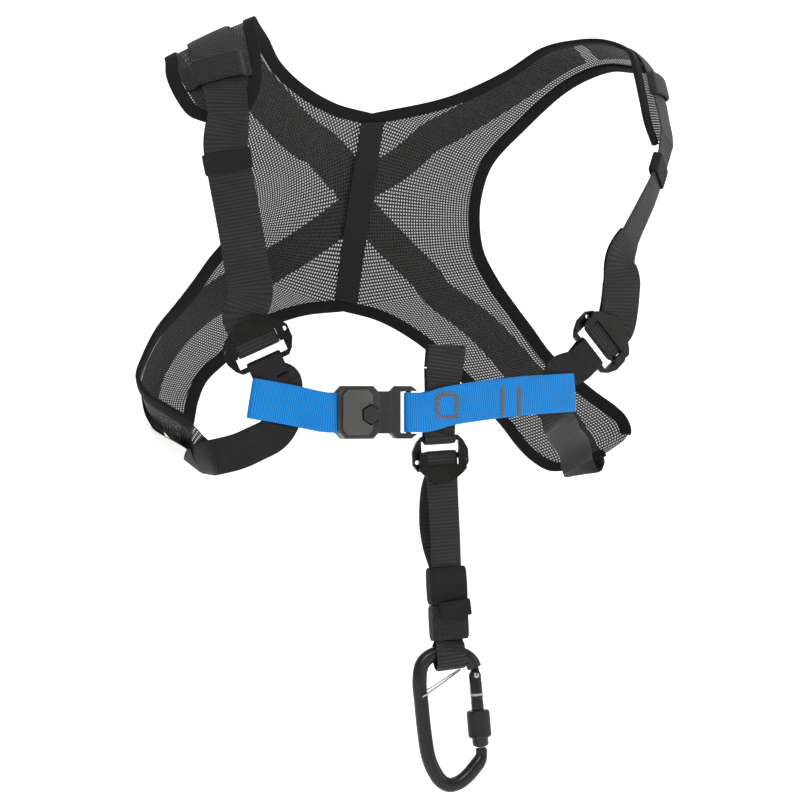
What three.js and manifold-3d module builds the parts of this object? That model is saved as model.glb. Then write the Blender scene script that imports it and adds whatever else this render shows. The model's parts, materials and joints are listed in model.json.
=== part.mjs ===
// Climbing chest harness in its worn form, in millimetres.
// +Z is up and -Y is the wearer's front, so the wearer's left side is at +X. The origin is midway
// between the two shoulders, where the caps sit.
import * as THREE from "three";
import Module from "manifold-3d";
import { mergeVertices } from "three/addons/utils/BufferGeometryUtils.js";

// Driving dimensions of the worn form. Tables of sections hold their lengths as shares of these.
const CHEST_WIDTH = 430; // across both wings
const CHEST_DEPTH = 170; // from the chest tape to the spine, and what scales every depth
const BODY_DROP = 300; // from the shoulders to the lower ends of the wings
const DROP_LENGTH = 150; // from the chest tape to the top of the carabiner

// Cloth and webbing
const MESH_WALL = 1.5;
const BINDING_WIDTH = 8; // on each face of the mesh
const BINDING_WALL = 1;
const WEBBING_WALL = 1.6;
const TAPE_WALL = 1.2;
const CLOTH_GAP = 0.5; // between layers of cloth
const BINDING_GAP = 0.8; // between the mesh and the binding folded over it
const BAND_GAP = 1; // between the mesh and the webbing that lies on it
const SHOULDER_WIDTH = 32;
const BAND_WIDTH = 26;
const SPINE_WIDTH = 20;
const CHEST_TAPE_WIDTH = 29;
const DROP_WIDTH = 24;
const KEEPER_LENGTH = 15; // elastic bands on the shoulder straps
const KEEPER_WALL = 1.3;
const FLAP_LENGTH = 22; // pile flaps on the caps
const FLAP_WALL = 2.2;

// Metal adjusters
const FRAME_WALL = 3; // thickness of the flat frame
const FRAME_RAIL = 3.5; // breadth of the frame beside its window
const FRAME_EAR = 3.5; // how far the ears stand out past the rails
const BAR_POST = 1.8; // posts that join the adjusting bar to its plate
const FIXED_BAR = 4; // breadth of the bar that the short webbing is sewn round
const BAR_SPACING = 13; // from the fixed bar to the adjusting bar
const ADJUST_BAR_RADIUS = 2;
const PLATE_WALL = 1.8;
const PLATE_LENGTH = 14;
const EAR_HOLE_RADIUS = 1.7;
const METAL_GAP = 0.4; // between metal and what passes round it

// Centre clasp
const CLASP_WIDTH = 34;
const CLASP_HEIGHT = 38.5;
const CLASP_DEPTH = 13;
const CLASP_CHAMFER = 6;
const TAPE_PIN_RADIUS = 1.9; // pins that the chest tapes turn round
const BUTTON_RADIUS = 7.5;
const BUTTON_HEIGHT = 1.6;
const RING_WIDTH = 23; // of the hook's open ring, along the tape
const RING_ROD = 6.2;
const NECK_LENGTH = 7.5;

// Carabiner
const CARABINER_LENGTH = 109;
const CARABINER_WIDTH = 57;
const ROD_RADIUS = 5.4;
const GATE_RADIUS = 4.6;
const GATE_GAP = 0.5;
const SLEEVE_RADIUS = 8.6;
const SLEEVE_LENGTH = 20;
const WIRE_RADIUS = 0.6;
const RIVET_RADIUS = 1.6;

// Hanging strap and what is on it
const SLEEVE_CLOTH_LENGTH = 27;
const PAD_LENGTH = 26;
const SLIDE_LENGTH = 12;

const TORSO = { across: CHEST_WIDTH, back: CHEST_DEPTH, down: BODY_DROP };
const rad = THREE.MathUtils.degToRad;
const vec = (x, y, z) => new THREE.Vector3(x, y, z);
const lerp = THREE.MathUtils.lerp;

// A row of a table that names a place by shares of the torso
const place = (row) =>
  vec(row.across * TORSO.across, row.back * TORSO.back, row.down * TORSO.down);

const COLOURS = {
  webbing: 0x2b2d2d,
  band: 0x242525,
  binding: 0x222222,
  mesh: 0x57524d,
  pile: 0x262728,
  elastic: 0x1f2020,
  blue: 0x0c88d2,
  label: 0xf2f2f0,
  metal: 0x3d3d3c,
  anodised: 0x303231,
  steel: 0x8a8a86,
  plastic: 0x54524e,
  dark_plastic: 0x2c2b29,
};

function material(name) {
  const metal = ["metal", "anodised", "steel"].includes(name);
  const roughness = metal ? 0.4 : name.endsWith("plastic") ? 0.5 : 0.85;
  return new THREE.MeshStandardMaterial({
    color: COLOURS[name],
    roughness,
    metalness: metal ? 0.9 : 0,
    name,
  });
}

const harness = new THREE.Group();
harness.name = "chest_harness";

function addPiece(name, geometry, look, parent = harness) {
  const mesh = new THREE.Mesh(geometry, material(look));
  mesh.name = name;
  parent.add(mesh);
  return mesh;
}

// Soft pieces are kept as builders, so that one can be made again with more on every side, as room
// that another piece leaves for it
const softPieces = {};
function addSoft(name, build, look) {
  softPieces[name] = build;
  return addPiece(name, build(0), look);
}

// Closed body between two grids of points, outer[i][j] over inner[i][j]
function slab(outer, inner) {
  const rows = outer.length;
  const cols = outer[0].length;
  const points = [...outer.flat(), ...inner.flat()];
  const top = (i, j) => i * cols + j;
  const low = (i, j) => rows * cols + i * cols + j;
  const faces = [];
  const quad = (a, b, c, d) => faces.push(a, b, c, a, c, d);
  for (let i = 0; i + 1 < rows; i++) {
    for (let j = 0; j + 1 < cols; j++) {
      quad(top(i, j), top(i + 1, j), top(i + 1, j + 1), top(i, j + 1));
      quad(low(i, j), low(i, j + 1), low(i + 1, j + 1), low(i + 1, j));
    }
    quad(top(i, 0), low(i, 0), low(i + 1, 0), top(i + 1, 0));
    const last = cols - 1;
    quad(top(i, last), top(i + 1, last), low(i + 1, last), low(i, last));
  }
  for (let j = 0; j + 1 < cols; j++) {
    quad(top(0, j), top(0, j + 1), low(0, j + 1), low(0, j));
    const last = rows - 1;
    quad(top(last, j), low(last, j), low(last, j + 1), top(last, j + 1));
  }
  return closedGeometry(points, faces);
}

// Geometry from points and faces, turned so that its volume is positive
function closedGeometry(points, faces) {
  let volume = 0;
  for (let k = 0; k < faces.length; k += 3) {
    const [a, b, c] = [points[faces[k]], points[faces[k + 1]], points[faces[k + 2]]];
    volume += a.dot(vec(0, 0, 0).crossVectors(b, c));
  }
  if (volume < 0) {
    for (let k = 0; k < faces.length; k += 3) {
      [faces[k + 1], faces[k + 2]] = [faces[k + 2], faces[k + 1]];
    }
  }
  const geometry = new THREE.BufferGeometry();
  const flat = points.flatMap((p) => [p.x, p.y, p.z]);
  geometry.setAttribute("position", new THREE.Float32BufferAttribute(flat, 3));
  geometry.setIndex(faces);
  return geometry;
}

// Cuts and joins
const wasm = await Module();
wasm.setup();

function toSolid(geometry) {
  let plain = geometry.clone();
  plain.deleteAttribute("normal");
  plain.deleteAttribute("uv");
  plain = mergeVertices(plain, 1e-4);
  return new wasm.Manifold(
    new wasm.Mesh({
      numProp: 3,
      vertProperties: new Float32Array(plain.attributes.position.array),
      triVerts: new Uint32Array(plain.index.array),
    }),
  );
}

function toGeometry(solid) {
  const mesh = solid.getMesh();
  const geometry = new THREE.BufferGeometry();
  geometry.setAttribute("position", new THREE.BufferAttribute(mesh.vertProperties, 3));
  geometry.setIndex(new THREE.BufferAttribute(mesh.triVerts, 1));
  return geometry;
}

const join = (...parts) => parts.map(toSolid).reduce((a, b) => a.add(b));
const boxAt = (dx, dy, dz, x, y, z) => new THREE.BoxGeometry(dx, dy, dz).translate(x, y, z);

function extrude(shape, depth, bevel = 0) {
  const options = { depth: depth - 2 * bevel, steps: 1, curveSegments: 6 };
  if (bevel > 0) {
    Object.assign(options, { bevelEnabled: true, bevelThickness: bevel, bevelSize: bevel });
    Object.assign(options, { bevelOffset: -bevel, bevelSegments: 1 });
  } else {
    options.bevelEnabled = false;
  }
  return new THREE.ExtrudeGeometry(shape, options).translate(0, 0, bevel);
}

const polygon = (corners) => new THREE.Shape(corners.map(([x, y]) => new THREE.Vector2(x, y)));

// Mesh panel

const column = (names) => (values) => Object.fromEntries(names.map((n, k) => [n, values[k]]));
const PANEL_NAMES = ["arm_across", "arm_back", "arm_down", "in_across", "in_back", "in_down", "belly"];
const panelRow = column(PANEL_NAMES);

// Sections of each half from the cap's front end over the shoulder to the wing's end. arm_* is the
// edge at the arm, in_* the edge at the neck, the spine and the hem, and belly is how far the
// section stands out between them, in millimetres of a 62 mm wide wing.
const RIGHT_SECTIONS = {
  cap_end: [-0.43, -0.235, -0.21, -0.375, -0.235, -0.2, 2],
  cap_low: [-0.46, -0.225, -0.195, -0.35, -0.225, -0.165, 3],
  cap_mid: [-0.475, -0.175, -0.155, -0.33, -0.19, -0.105, 4],
  cap_high: [-0.48, -0.095, -0.1, -0.32, -0.105, -0.015, 4],
  ridge_front: [-0.472, -0.03, -0.06, -0.315, -0.035, 0.04, 2],
  ridge: [-0.465, 0.025, -0.05, -0.305, 0.025, 0.06, 1],
  ridge_back: [-0.445, 0.095, -0.055, -0.285, 0.105, 0.05, 2],
  blade_top: [-0.39, 0.28, -0.095, -0.24, 0.27, 0.025, 3],
  blade: [-0.325, 0.46, -0.165, -0.19, 0.425, -0.025, 3],
  blade_low: [-0.27, 0.59, -0.245, -0.125, 0.53, -0.075, 3],
  waist_high: [-0.245, 0.645, -0.315, -0.055, 0.58, -0.115, 3],
  spine_top: [-0.23, 0.67, -0.365, 0.022, 0.61, -0.135, 3],
  waist: [-0.23, 0.67, -0.4, 0.022, 0.69, -0.26, 3],
  waist_low: [-0.245, 0.66, -0.44, 0.01, 0.71, -0.39, 3],
  spine_low: [-0.265, 0.625, -0.475, -0.005, 0.71, -0.525, 3],
  spine_foot: [-0.3, 0.57, -0.52, -0.02, 0.69, -0.64, 3],
  flank_top: [-0.345, 0.495, -0.585, -0.11, 0.665, -0.655, 3],
  flank_high: [-0.39, 0.4, -0.64, -0.2, 0.625, -0.7, 5],
  flank: [-0.44, 0.295, -0.7, -0.27, 0.57, -0.775, 8],
  flank_low: [-0.48, 0.19, -0.765, -0.32, 0.495, -0.825, 10],
  wing_turn: [-0.51, 0.07, -0.82, -0.35, 0.41, -0.875, 12],
  wing_fore: [-0.51, -0.045, -0.86, -0.37, 0.33, -0.925, 14],
  wing_low: [-0.49, -0.155, -0.89, -0.39, 0.235, -0.975, 13],
  wing_end: [-0.455, -0.225, -0.93, -0.4, 0.13, -1.01, 9],
  wing_tip: [-0.425, -0.24, -0.98, -0.41, 0.01, -1.03, 4],
};
const LEFT_SECTIONS = {
  cap_end: [0.46, -0.13, -0.215, 0.405, -0.295, -0.23, 2],
  cap_low: [0.485, -0.035, -0.165, 0.395, -0.27, -0.175, 3],
  cap_mid: [0.5, 0.045, -0.115, 0.395, -0.225, -0.115, 4],
  cap_high: [0.51, 0.12, -0.07, 0.4, -0.155, -0.05, 4],
  ridge_front: [0.515, 0.19, -0.035, 0.41, -0.06, 0.01, 2],
  ridge: [0.52, 0.27, -0.01, 0.415, 0.035, 0.035, 1],
  ridge_back: [0.505, 0.355, -0.005, 0.395, 0.13, 0.055, 2],
  blade_top: [0.48, 0.425, 0.0, 0.37, 0.27, 0.06, 3],
  blade: [0.45, 0.495, -0.015, 0.33, 0.41, 0.045, 3],
  blade_low: [0.405, 0.555, -0.055, 0.275, 0.52, -0.015, 3],
  waist_high: [0.335, 0.635, -0.155, 0.17, 0.575, -0.085, 3],
  spine_top: [0.275, 0.67, -0.25, 0.022, 0.61, -0.135, 3],
  waist: [0.255, 0.68, -0.33, 0.022, 0.69, -0.26, 3],
  waist_low: [0.25, 0.68, -0.395, 0.01, 0.71, -0.39, 3],
  spine_low: [0.255, 0.665, -0.48, -0.005, 0.71, -0.525, 3],
  spine_foot: [0.28, 0.635, -0.56, -0.02, 0.69, -0.64, 3],
  flank_top: [0.305, 0.6, -0.62, 0.045, 0.66, -0.665, 3],
  flank_high: [0.335, 0.56, -0.685, 0.115, 0.63, -0.72, 5],
  flank: [0.365, 0.51, -0.755, 0.185, 0.59, -0.805, 7],
  flank_low: [0.405, 0.47, -0.81, 0.23, 0.54, -0.88, 8],
  wing_turn: [0.445, 0.43, -0.86, 0.265, 0.5, -0.94, 8],
  wing_fore: [0.475, 0.39, -0.895, 0.29, 0.46, -0.995, 7],
  wing_low: [0.49, 0.355, -0.925, 0.31, 0.42, -1.03, 6],
  wing_end: [0.49, 0.32, -0.965, 0.335, 0.375, -1.055, 4],
  wing_tip: [0.44, 0.305, -1.015, 0.365, 0.34, -1.055, 2],
};

// Smooth curve whose parameter counts its points, with corners at the given points
function railCurve(points, corners) {
  const ends = [0, ...corners, points.length - 1];
  const runs = ends.slice(1).map((end, k) => ({
    start: ends[k],
    end,
    curve: new THREE.CatmullRomCurve3(points.slice(ends[k], end + 1), false, "centripetal"),
  }));
  return (s) => {
    const at = THREE.MathUtils.clamp(s, 0, points.length - 1);
    const run = runs.find((r) => at <= r.end) ?? runs[runs.length - 1];
    return run.curve.getPoint((at - run.start) / (run.end - run.start));
  };
}

function makePanel(sections, hand) {
  const names = Object.keys(sections);
  const rows = names.map((n) => panelRow(sections[n]));
  const last = names.length - 1;
  const station = (name) => names.indexOf(name);
  const seam = (hand * CLOTH_GAP) / 2;
  const arm = railCurve(
    rows.map((r) => place({ across: r.arm_across, back: r.arm_back, down: r.arm_down })),
    [],
  );
  const onSpine = (k) => k >= station("spine_top") && k <= station("spine_foot");
  const inner = railCurve(
    rows.map((r, k) =>
      place({ across: r.in_across, back: r.in_back, down: r.in_down }).add(
        vec(onSpine(k) ? seam : 0, 0, 0),
      ),
    ),
    [station("spine_top"), station("spine_foot")],
  );
  const belly = (s) => {
    const k = Math.min(Math.floor(s), last - 1);
    return lerp(rows[k].belly, rows[k + 1].belly, s - k) * (CHEST_WIDTH / 430);
  };
  // Outward direction of a whole section
  const outward = (s) => {
    const middle = (x) => arm(x).add(inner(x));
    const along = middle(Math.min(s + 0.6, last)).sub(middle(Math.max(s - 0.6, 0)));
    const across = inner(s).sub(arm(s));
    return across.cross(along).multiplyScalar(-hand).normalize();
  };
  const at = (s, v) => {
    const t = THREE.MathUtils.clamp(s, 0, last);
    return arm(t)
      .lerp(inner(t), v)
      .addScaledVector(outward(t), belly(t) * 4 * v * (1 - v));
  };
  const normal = (s, v) => {
    const e = 0.08;
    const lo = Math.max(s - e, 0);
    const hi = Math.min(s + e, last);
    const along = at(hi, v).sub(at(lo, v));
    const across = at(s, v + e).sub(at(s, v - e));
    return across.cross(along).multiplyScalar(-hand).normalize();
  };
  // Place on the panel reached from (s, v) by a small step in space, or null where there is none
  const near = (s, v, step) => {
    const e = 0.05;
    const along = at(Math.min(s + e, last), v).sub(at(Math.max(s - e, 0), v)).divideScalar(2 * e);
    const across = at(s, v + e).sub(at(s, v - e)).divideScalar(2 * e);
    const [aa, ab, bb] = [along.dot(along), along.dot(across), across.dot(across)];
    const [sa, sb] = [step.dot(along), step.dot(across)];
    const det = aa * bb - ab * ab;
    if (det < 0.15 * aa * bb) return null; // the sections run along the edge here
    const ds = (sa * bb - sb * ab) / det;
    const dv = (sb * aa - sa * ab) / det;
    if (s + ds < 0 || s + ds > last) return null;
    return { s: s + ds, v: v + dv };
  };
  return { at, normal, near, station, last, hand };
}

const rightPanel = makePanel(RIGHT_SECTIONS, -1);
const leftPanel = makePanel(LEFT_SECTIONS, 1);

// Sections that are built: every half station, but whole ones where the panel is nearly flat
const FLAT_FROM = 8;
const FLAT_TO = 16;
const builtSections = (last) => {
  const all = Array.from({ length: 2 * last + 1 }, (_, k) => k / 2);
  return all.filter((s) => s % 1 === 0 || s < FLAT_FROM || s > FLAT_TO);
};
const PANEL_CELLS = 2; // between the bindings

// Shares across a section: its edges, the inner edges of the bindings, and even cells between
function panelShares(panel, s) {
  const width = panel.at(s, 0).distanceTo(panel.at(s, 1));
  const bound = Math.min(BINDING_WIDTH / width, 0.3);
  const middle = Array.from({ length: PANEL_CELLS + 1 }, (_, j) =>
    lerp(bound, 1 - bound, j / PANEL_CELLS),
  );
  return [0, ...middle, 1];
}

function panelGeometry(panel) {
  const outer = [];
  const inner = [];
  for (const s of builtSections(panel.last)) {
    const over = [];
    const under = [];
    for (const v of panelShares(panel, s)) {
      const p = panel.at(s, v);
      const n = panel.normal(s, v);
      over.push(p.clone().addScaledVector(n, MESH_WALL / 2));
      under.push(p.clone().addScaledVector(n, -MESH_WALL / 2));
    }
    outer.push(over);
    inner.push(under);
  }
  return slab(outer, inner);
}

addPiece("back_mesh_right", panelGeometry(rightPanel), "mesh");
addPiece("back_mesh_left", panelGeometry(leftPanel), "mesh");

// Bindings

// Half section of a folded tape: how far in from the mesh's edge, and how high over its middle
const BIND_IN = MESH_WALL / 2 + BINDING_GAP;
const BIND_OUT = BIND_IN + BINDING_WALL;
const foldedSection = (width, back, half) => [
  [width, half],
  [-back, half],
  [-back, -half],
  [width, -half],
];

// Points on the edge of a panel at one rail, from station to station
function edgeStations(panel, rail, from, to) {
  const [low, high] = [Math.min(from, to), Math.max(from, to)];
  const run = builtSections(panel.last).filter((s) => s >= low && s <= high);
  if (from > to) run.reverse();
  return run.map((s) => ({ panel, s, v: rail }));
}

function bindingGeometry(stations, more = 0) {
  const outerSection = foldedSection(
    BINDING_WIDTH + more,
    BINDING_GAP + BINDING_WALL + more,
    BIND_OUT + more,
  );
  const innerSection = foldedSection(BINDING_WIDTH + more, BINDING_GAP - more, BIND_IN - more);
  const points = stations.map(({ panel, s, v }) => panel.at(s, v));
  const outer = [];
  const inner = [];
  stations.forEach(({ panel, s, v }, k) => {
    const p = points[k];
    const back = points[Math.max(k - 1, 0)];
    const next = points[Math.min(k + 1, points.length - 1)];
    const into = p.clone().sub(back).normalize();
    const out = next.clone().sub(p).normalize();
    if (k === 0) into.copy(out);
    if (k === points.length - 1) out.copy(into);
    const along = into.clone().add(out).normalize();
    const mitre = 1 / Math.max(along.dot(into), 0.6);
    const normal = panel.normal(s, v);
    const middle = panel.at(THREE.MathUtils.clamp(s, 0.6, panel.last - 0.6), 0.5).sub(p);
    const inward = normal.clone().cross(along).normalize();
    if (inward.dot(middle) < 0) inward.negate();
    // Beyond the edge a point stands off the edge itself, inside it follows the panel
    const spot = ([m, n]) => {
      if (m <= 0) return p.clone().addScaledVector(inward, m * mitre).addScaledVector(normal, n);
      const inside = panel.near(s, v, inward.clone().multiplyScalar(m * mitre));
      if (!inside) return p.clone().addScaledVector(inward, m * mitre).addScaledVector(normal, n);
      const lift = panel.normal(inside.s, inside.v).multiplyScalar(n);
      return panel.at(inside.s, inside.v).add(lift);
    };
    outer.push(outerSection.map(spot));
    inner.push(innerSection.map(spot));
  });
  return slab(outer, inner);
}

for (const [side, panel] of [["right", rightPanel], ["left", leftPanel]]) {
  const stations = edgeStations(panel, 0, 0, panel.last - 1);
  addSoft(`arm_binding_${side}`, (more) => bindingGeometry(stations, more), "binding");
}

const neckHalf = (panel) => edgeStations(panel, 1, 0, panel.station("spine_top"));
const hemHalf = (panel) => edgeStations(panel, 1, panel.last, panel.station("spine_foot"));
// Both halves in one run, without the doubled point at the spine
const bothHalves = (half) => [...half(rightPanel).slice(0, -1), ...half(leftPanel).reverse()];
addSoft("neck_binding", (more) => bindingGeometry(bothHalves(neckHalf), more), "binding");
addSoft("hem_binding", (more) => bindingGeometry(bothHalves(hemHalf), more), "binding");

// Straps

// A run of sections, each with its middle, its outward direction and, on a panel, its place there
const onPanel = (panel, s, v, lift) => ({
  at: panel.at(s, v).addScaledVector(panel.normal(s, v), lift),
  up: panel.normal(s, v),
  panel,
  s,
  v,
  lift,
});

// Run over a panel through rows of [station, share across, layers over the mesh]
function panelRun(panel, rows, lifts, step = 0.6) {
  const points = rows.map(([s, v, layer]) => vec(s, v, layer));
  const curve = new THREE.CatmullRomCurve3(points, false, "centripetal");
  const length = Math.abs(rows[rows.length - 1][0] - rows[0][0]);
  const count = Math.max(rows.length, Math.round(length / step));
  return Array.from({ length: count + 1 }, (_, k) => {
    const p = curve.getPoint(k / count);
    return onPanel(panel, p.x, p.y, lifts(p.z));
  });
}

// Direction that faces forward, turned about the vertical by some degrees to the wearer's left
const facing = (turn) => vec(Math.sin(rad(turn)), -Math.cos(rad(turn)), 0);

// Free run through knots with a middle and an outward direction
function freeRun(knots, steps = 3) {
  const curve = new THREE.CatmullRomCurve3(knots.map((k) => k.at), false, "centripetal");
  const spans = knots.length - 1;
  return Array.from({ length: spans * steps + 1 }, (_, i) => {
    const t = i / steps;
    const k = Math.min(Math.floor(t), spans - 1);
    const up = knots[k].up.clone().lerp(knots[k + 1].up, t - k).normalize();
    return { at: curve.getPoint(i / (spans * steps)), up };
  });
}

// Squares each section to the run, with side = across the strap
function squared(run) {
  return run.map((section, k) => {
    const back = run[Math.max(k - 1, 0)].at;
    const next = run[Math.min(k + 1, run.length - 1)].at;
    const along = next.clone().sub(back).normalize();
    const side = section.up.clone().cross(along).normalize();
    const up = section.panel ? section.up : along.clone().cross(side).normalize();
    return { ...section, along, side, up };
  });
}

function strapGeometry(run, plainWidth, wall, columns = 1, more = 0) {
  const width = plainWidth + 2 * more;
  const half = wall / 2 + more;
  const outer = [];
  const inner = [];
  for (const section of squared(run)) {
    const over = [];
    const under = [];
    for (let j = 0; j <= columns; j++) {
      const step = section.side.clone().multiplyScalar((section.width ?? width) * (j / columns - 0.5));
      let middle = section.at.clone().add(step);
      let up = section.up;
      if (section.panel) {
        const spot = section.panel.near(section.s, section.v, step) ?? section;
        up = section.panel.normal(spot.s, spot.v);
        if (spot !== section) {
          middle = section.panel.at(spot.s, spot.v).addScaledVector(up, section.lift);
        }
      }
      over.push(middle.clone().addScaledVector(up, half));
      under.push(middle.clone().addScaledVector(up, -half));
    }
    outer.push(over);
    inner.push(under);
  }
  return slab(outer, inner);
}

// Layer 0 lies on the mesh and layer 1 over the binding
const outsideLift = (wall) => (layer) =>
  MESH_WALL / 2 + BAND_GAP + wall / 2 + layer * (BINDING_GAP + BINDING_WALL);

// Spine tape, on the inside between the neck and hem bindings
{
  const top = rightPanel.station("spine_top");
  const foot = rightPanel.station("spine_foot");
  const clear = 0.4; // of a station, kept from each binding
  const lift = -(MESH_WALL / 2 + BAND_GAP + TAPE_WALL / 2);
  const count = 10;
  const run = Array.from({ length: count + 1 }, (_, k) => {
    const s = lerp(top + clear, foot - clear, k / count);
    const up = rightPanel.normal(s, 0.98).add(leftPanel.normal(s, 0.98)).normalize();
    const at = rightPanel.at(s, 1).add(leftPanel.at(s, 1)).divideScalar(2);
    return { at: at.addScaledVector(up, lift), up };
  });
  addSoft("spine_tape", (more) => strapGeometry(run, SPINE_WIDTH, TAPE_WALL, 1, more), "band");
}

// Metal adjusters

// Local frame: x along the bars, y from the fixed bar toward the plate, z out of the front
function localFrame(origin, bar, out) {
  const ex = bar.clone().normalize();
  const ez = out.clone().addScaledVector(ex, -out.dot(ex)).normalize();
  const ey = ez.clone().cross(ex);
  const spot = (x, y, z) =>
    origin.clone().addScaledVector(ex, x).addScaledVector(ey, y).addScaledVector(ez, z);
  return { origin, ex, ey, ez, spot, basis: new THREE.Matrix4().makeBasis(ex, ey, ez) };
}

function groupAt(frame) {
  const group = new THREE.Group();
  group.position.copy(frame.origin);
  group.quaternion.setFromRotationMatrix(frame.basis);
  harness.add(group);
  return group;
}

// Distances of a webbing's middle from the bars that it turns round
const FIXED_TURN_Y = FIXED_BAR / 2 + METAL_GAP + 0.5 + WEBBING_WALL / 2;
const FIXED_TURN_Z = FRAME_WALL / 2 + METAL_GAP + 0.4 + WEBBING_WALL / 2;
const ADJUST_TURN = ADJUST_BAR_RADIUS + METAL_GAP + WEBBING_WALL / 2;
const END_BAR_Y = ADJUST_TURN + WEBBING_WALL / 2 + METAL_GAP + 4.4; // centre of the frame's far bar
const PLATE_Z = ADJUST_TURN + WEBBING_WALL / 2 + METAL_GAP; // underside of the plate

const notchHalf = (webbing) => webbing / 2 + METAL_GAP;
const windowHalf = (webbing) => notchHalf(webbing) + BAR_POST + METAL_GAP;

const mirrored = (corners) => [...corners, ...corners.map(([x, y]) => [-x, y]).reverse()];

function adjusterFrame(webbing) {
  const window = windowHalf(webbing);
  const rail = window + FRAME_RAIL;
  const ear = rail + FRAME_EAR;
  const top = -BAR_SPACING - FIXED_BAR / 2;
  const foot = END_BAR_Y + FIXED_BAR / 2;
  const shape = polygon(
    mirrored([
      [rail - 4, top],
      [rail, top + 4],
      [ear, -4],
      [ear, foot - 5],
      [rail, foot],
    ]),
  );
  const low = -BAR_SPACING + FIXED_BAR / 2;
  const high = END_BAR_Y - FIXED_BAR / 2;
  const cuts = [boxAt(2 * window, high - low, 2 * FRAME_WALL, 0, (high + low) / 2, 0)];
  for (const hand of [-1, 1]) {
    const hole = new THREE.CylinderGeometry(EAR_HOLE_RADIUS, EAR_HOLE_RADIUS, 2 * FRAME_WALL, 10);
    cuts.push(hole.rotateX(Math.PI / 2).translate(hand * (rail + 0.3), foot - 7, 0));
  }
  const plate = extrude(shape, FRAME_WALL).translate(0, 0, -FRAME_WALL / 2);
  return toGeometry(toSolid(plate).subtract(join(...cuts)));
}

function adjusterPlate(webbing) {
  const notch = notchHalf(webbing);
  const outer = windowHalf(webbing) + 3;
  const start = -ADJUST_BAR_RADIUS - 1.5;
  const bridge = END_BAR_Y - 2;
  const tip = bridge + PLATE_LENGTH;
  const shape = polygon([
    [notch, start],
    [outer, start],
    [outer + 0.8, bridge + 3],
    [outer - 2, bridge + 6],
    [webbing * 0.2, tip],
    [-webbing * 0.2, tip],
    [2 - outer, bridge + 6],
    [-outer - 0.8, bridge + 3],
    [-outer, start],
    [-notch, start],
    [-notch, bridge],
    [notch, bridge],
  ]);
  const plate = extrude(shape, PLATE_WALL).translate(0, 0, PLATE_Z);
  const bar = new THREE.CylinderGeometry(
    ADJUST_BAR_RADIUS,
    ADJUST_BAR_RADIUS,
    2 * (notch + BAR_POST / 2),
    12,
  ).rotateZ(Math.PI / 2);
  const rise = PLATE_Z + PLATE_WALL / 2;
  const posts = [-1, 1].map((hand) =>
    boxAt(
      BAR_POST,
      2 * ADJUST_BAR_RADIUS,
      rise + ADJUST_BAR_RADIUS,
      hand * (notch + BAR_POST / 2),
      0,
      (rise - ADJUST_BAR_RADIUS) / 2,
    ),
  );
  return toGeometry(join(plate, bar, ...posts));
}

function addAdjuster(frame, webbing, prefix, suffix) {
  const group = groupAt(frame);
  addPiece(`${prefix}frame${suffix}`, adjusterFrame(webbing), "metal", group);
  addPiece(`${prefix}plate${suffix}`, adjusterPlate(webbing), "metal", group);
}

// Knots of a webbing round the adjusting bar, from the far side of the plate and back to it
function adjustTurn(frame, reach = 12) {
  const knot = (y, z, uy, uz) => ({
    at: frame.spot(0, y, z),
    up: frame.ey.clone().multiplyScalar(uy).addScaledVector(frame.ez, uz),
  });
  const far = END_BAR_Y + FIXED_BAR / 2;
  const past = far + reach;
  const apart = (WEBBING_WALL + CLOTH_GAP) / 2;
  return [
    knot(past, apart + 1.15, 0, 1),
    knot(far + 3, FIXED_TURN_Z - 0.4, 0, 1),
    knot(END_BAR_Y, ADJUST_TURN, 0, 1),
    knot(0, ADJUST_TURN, 0, 1),
    knot(-ADJUST_TURN * 0.71, ADJUST_TURN * 0.71, -0.71, 0.71),
    knot(-ADJUST_TURN, 0, -1, 0),
    knot(-ADJUST_TURN * 0.71, -ADJUST_TURN * 0.71, -0.71, -0.71),
    knot(0, -ADJUST_TURN, 0, -1),
    knot(END_BAR_Y, -ADJUST_TURN, 0, -1),
    knot(far + 3, -FIXED_TURN_Z + 0.4, 0, -1),
    knot(past, -apart - 1.8, 0, -1),
  ];
}

// Knots of a webbing round the fixed bar, from behind to the front, running away from the plate
function fixedTurn(frame, tail = 14) {
  const knot = (y, z, uy, uz) => ({
    at: frame.spot(0, -BAR_SPACING + y, z),
    up: frame.ey.clone().multiplyScalar(uy).addScaledVector(frame.ez, uz),
  });
  const apart = (WEBBING_WALL + CLOTH_GAP) / 2;
  const edge = FIXED_BAR / 2;
  return [
    knot(-tail, -apart, 0, -1),
    knot(-edge - 4.5, -FIXED_TURN_Z + 0.6, 0, -1),
    knot(-edge, -FIXED_TURN_Z, 0, -1),
    knot(edge - 0.6, -FIXED_TURN_Z, 0.2, -1),
    knot(FIXED_TURN_Y, 0, 1, 0),
    knot(edge - 0.6, FIXED_TURN_Z, 0.2, 1),
    knot(-edge, FIXED_TURN_Z, 0, 1),
    knot(-edge - 4.5, FIXED_TURN_Z - 0.6, 0, 1),
    knot(-tail, apart, 0, 1),
  ];
}

const rightBuckle = localFrame(
  place({ across: -0.345, back: -0.26, down: -0.745 }),
  facing(-25).cross(vec(0, 0, -1)).add(vec(0, 0, 0.45)),
  facing(-25),
);
const leftBuckle = localFrame(
  place({ across: 0.31, back: -0.235, down: -0.728 }),
  vec(0.68, 0.07, -0.73),
  facing(2),
);
addAdjuster(rightBuckle, SHOULDER_WIDTH, "buckle_", "_right");
addAdjuster(leftBuckle, SHOULDER_WIDTH, "buckle_", "_left");

// Free knots of a strap: its middle, and the way its outer face looks, in degrees from forward to
// the wearer's left and down from the level
const knotRow = column(["across", "back", "down", "turn", "tilt"]);
const freeKnots = (rows) =>
  rows.map((values) => {
    const row = knotRow(values);
    const tilt = rad(row.tilt ?? 0);
    const up = facing(row.turn).multiplyScalar(Math.cos(tilt)).add(vec(0, 0, -Math.sin(tilt)));
    return { at: place(row), up };
  });

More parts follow.
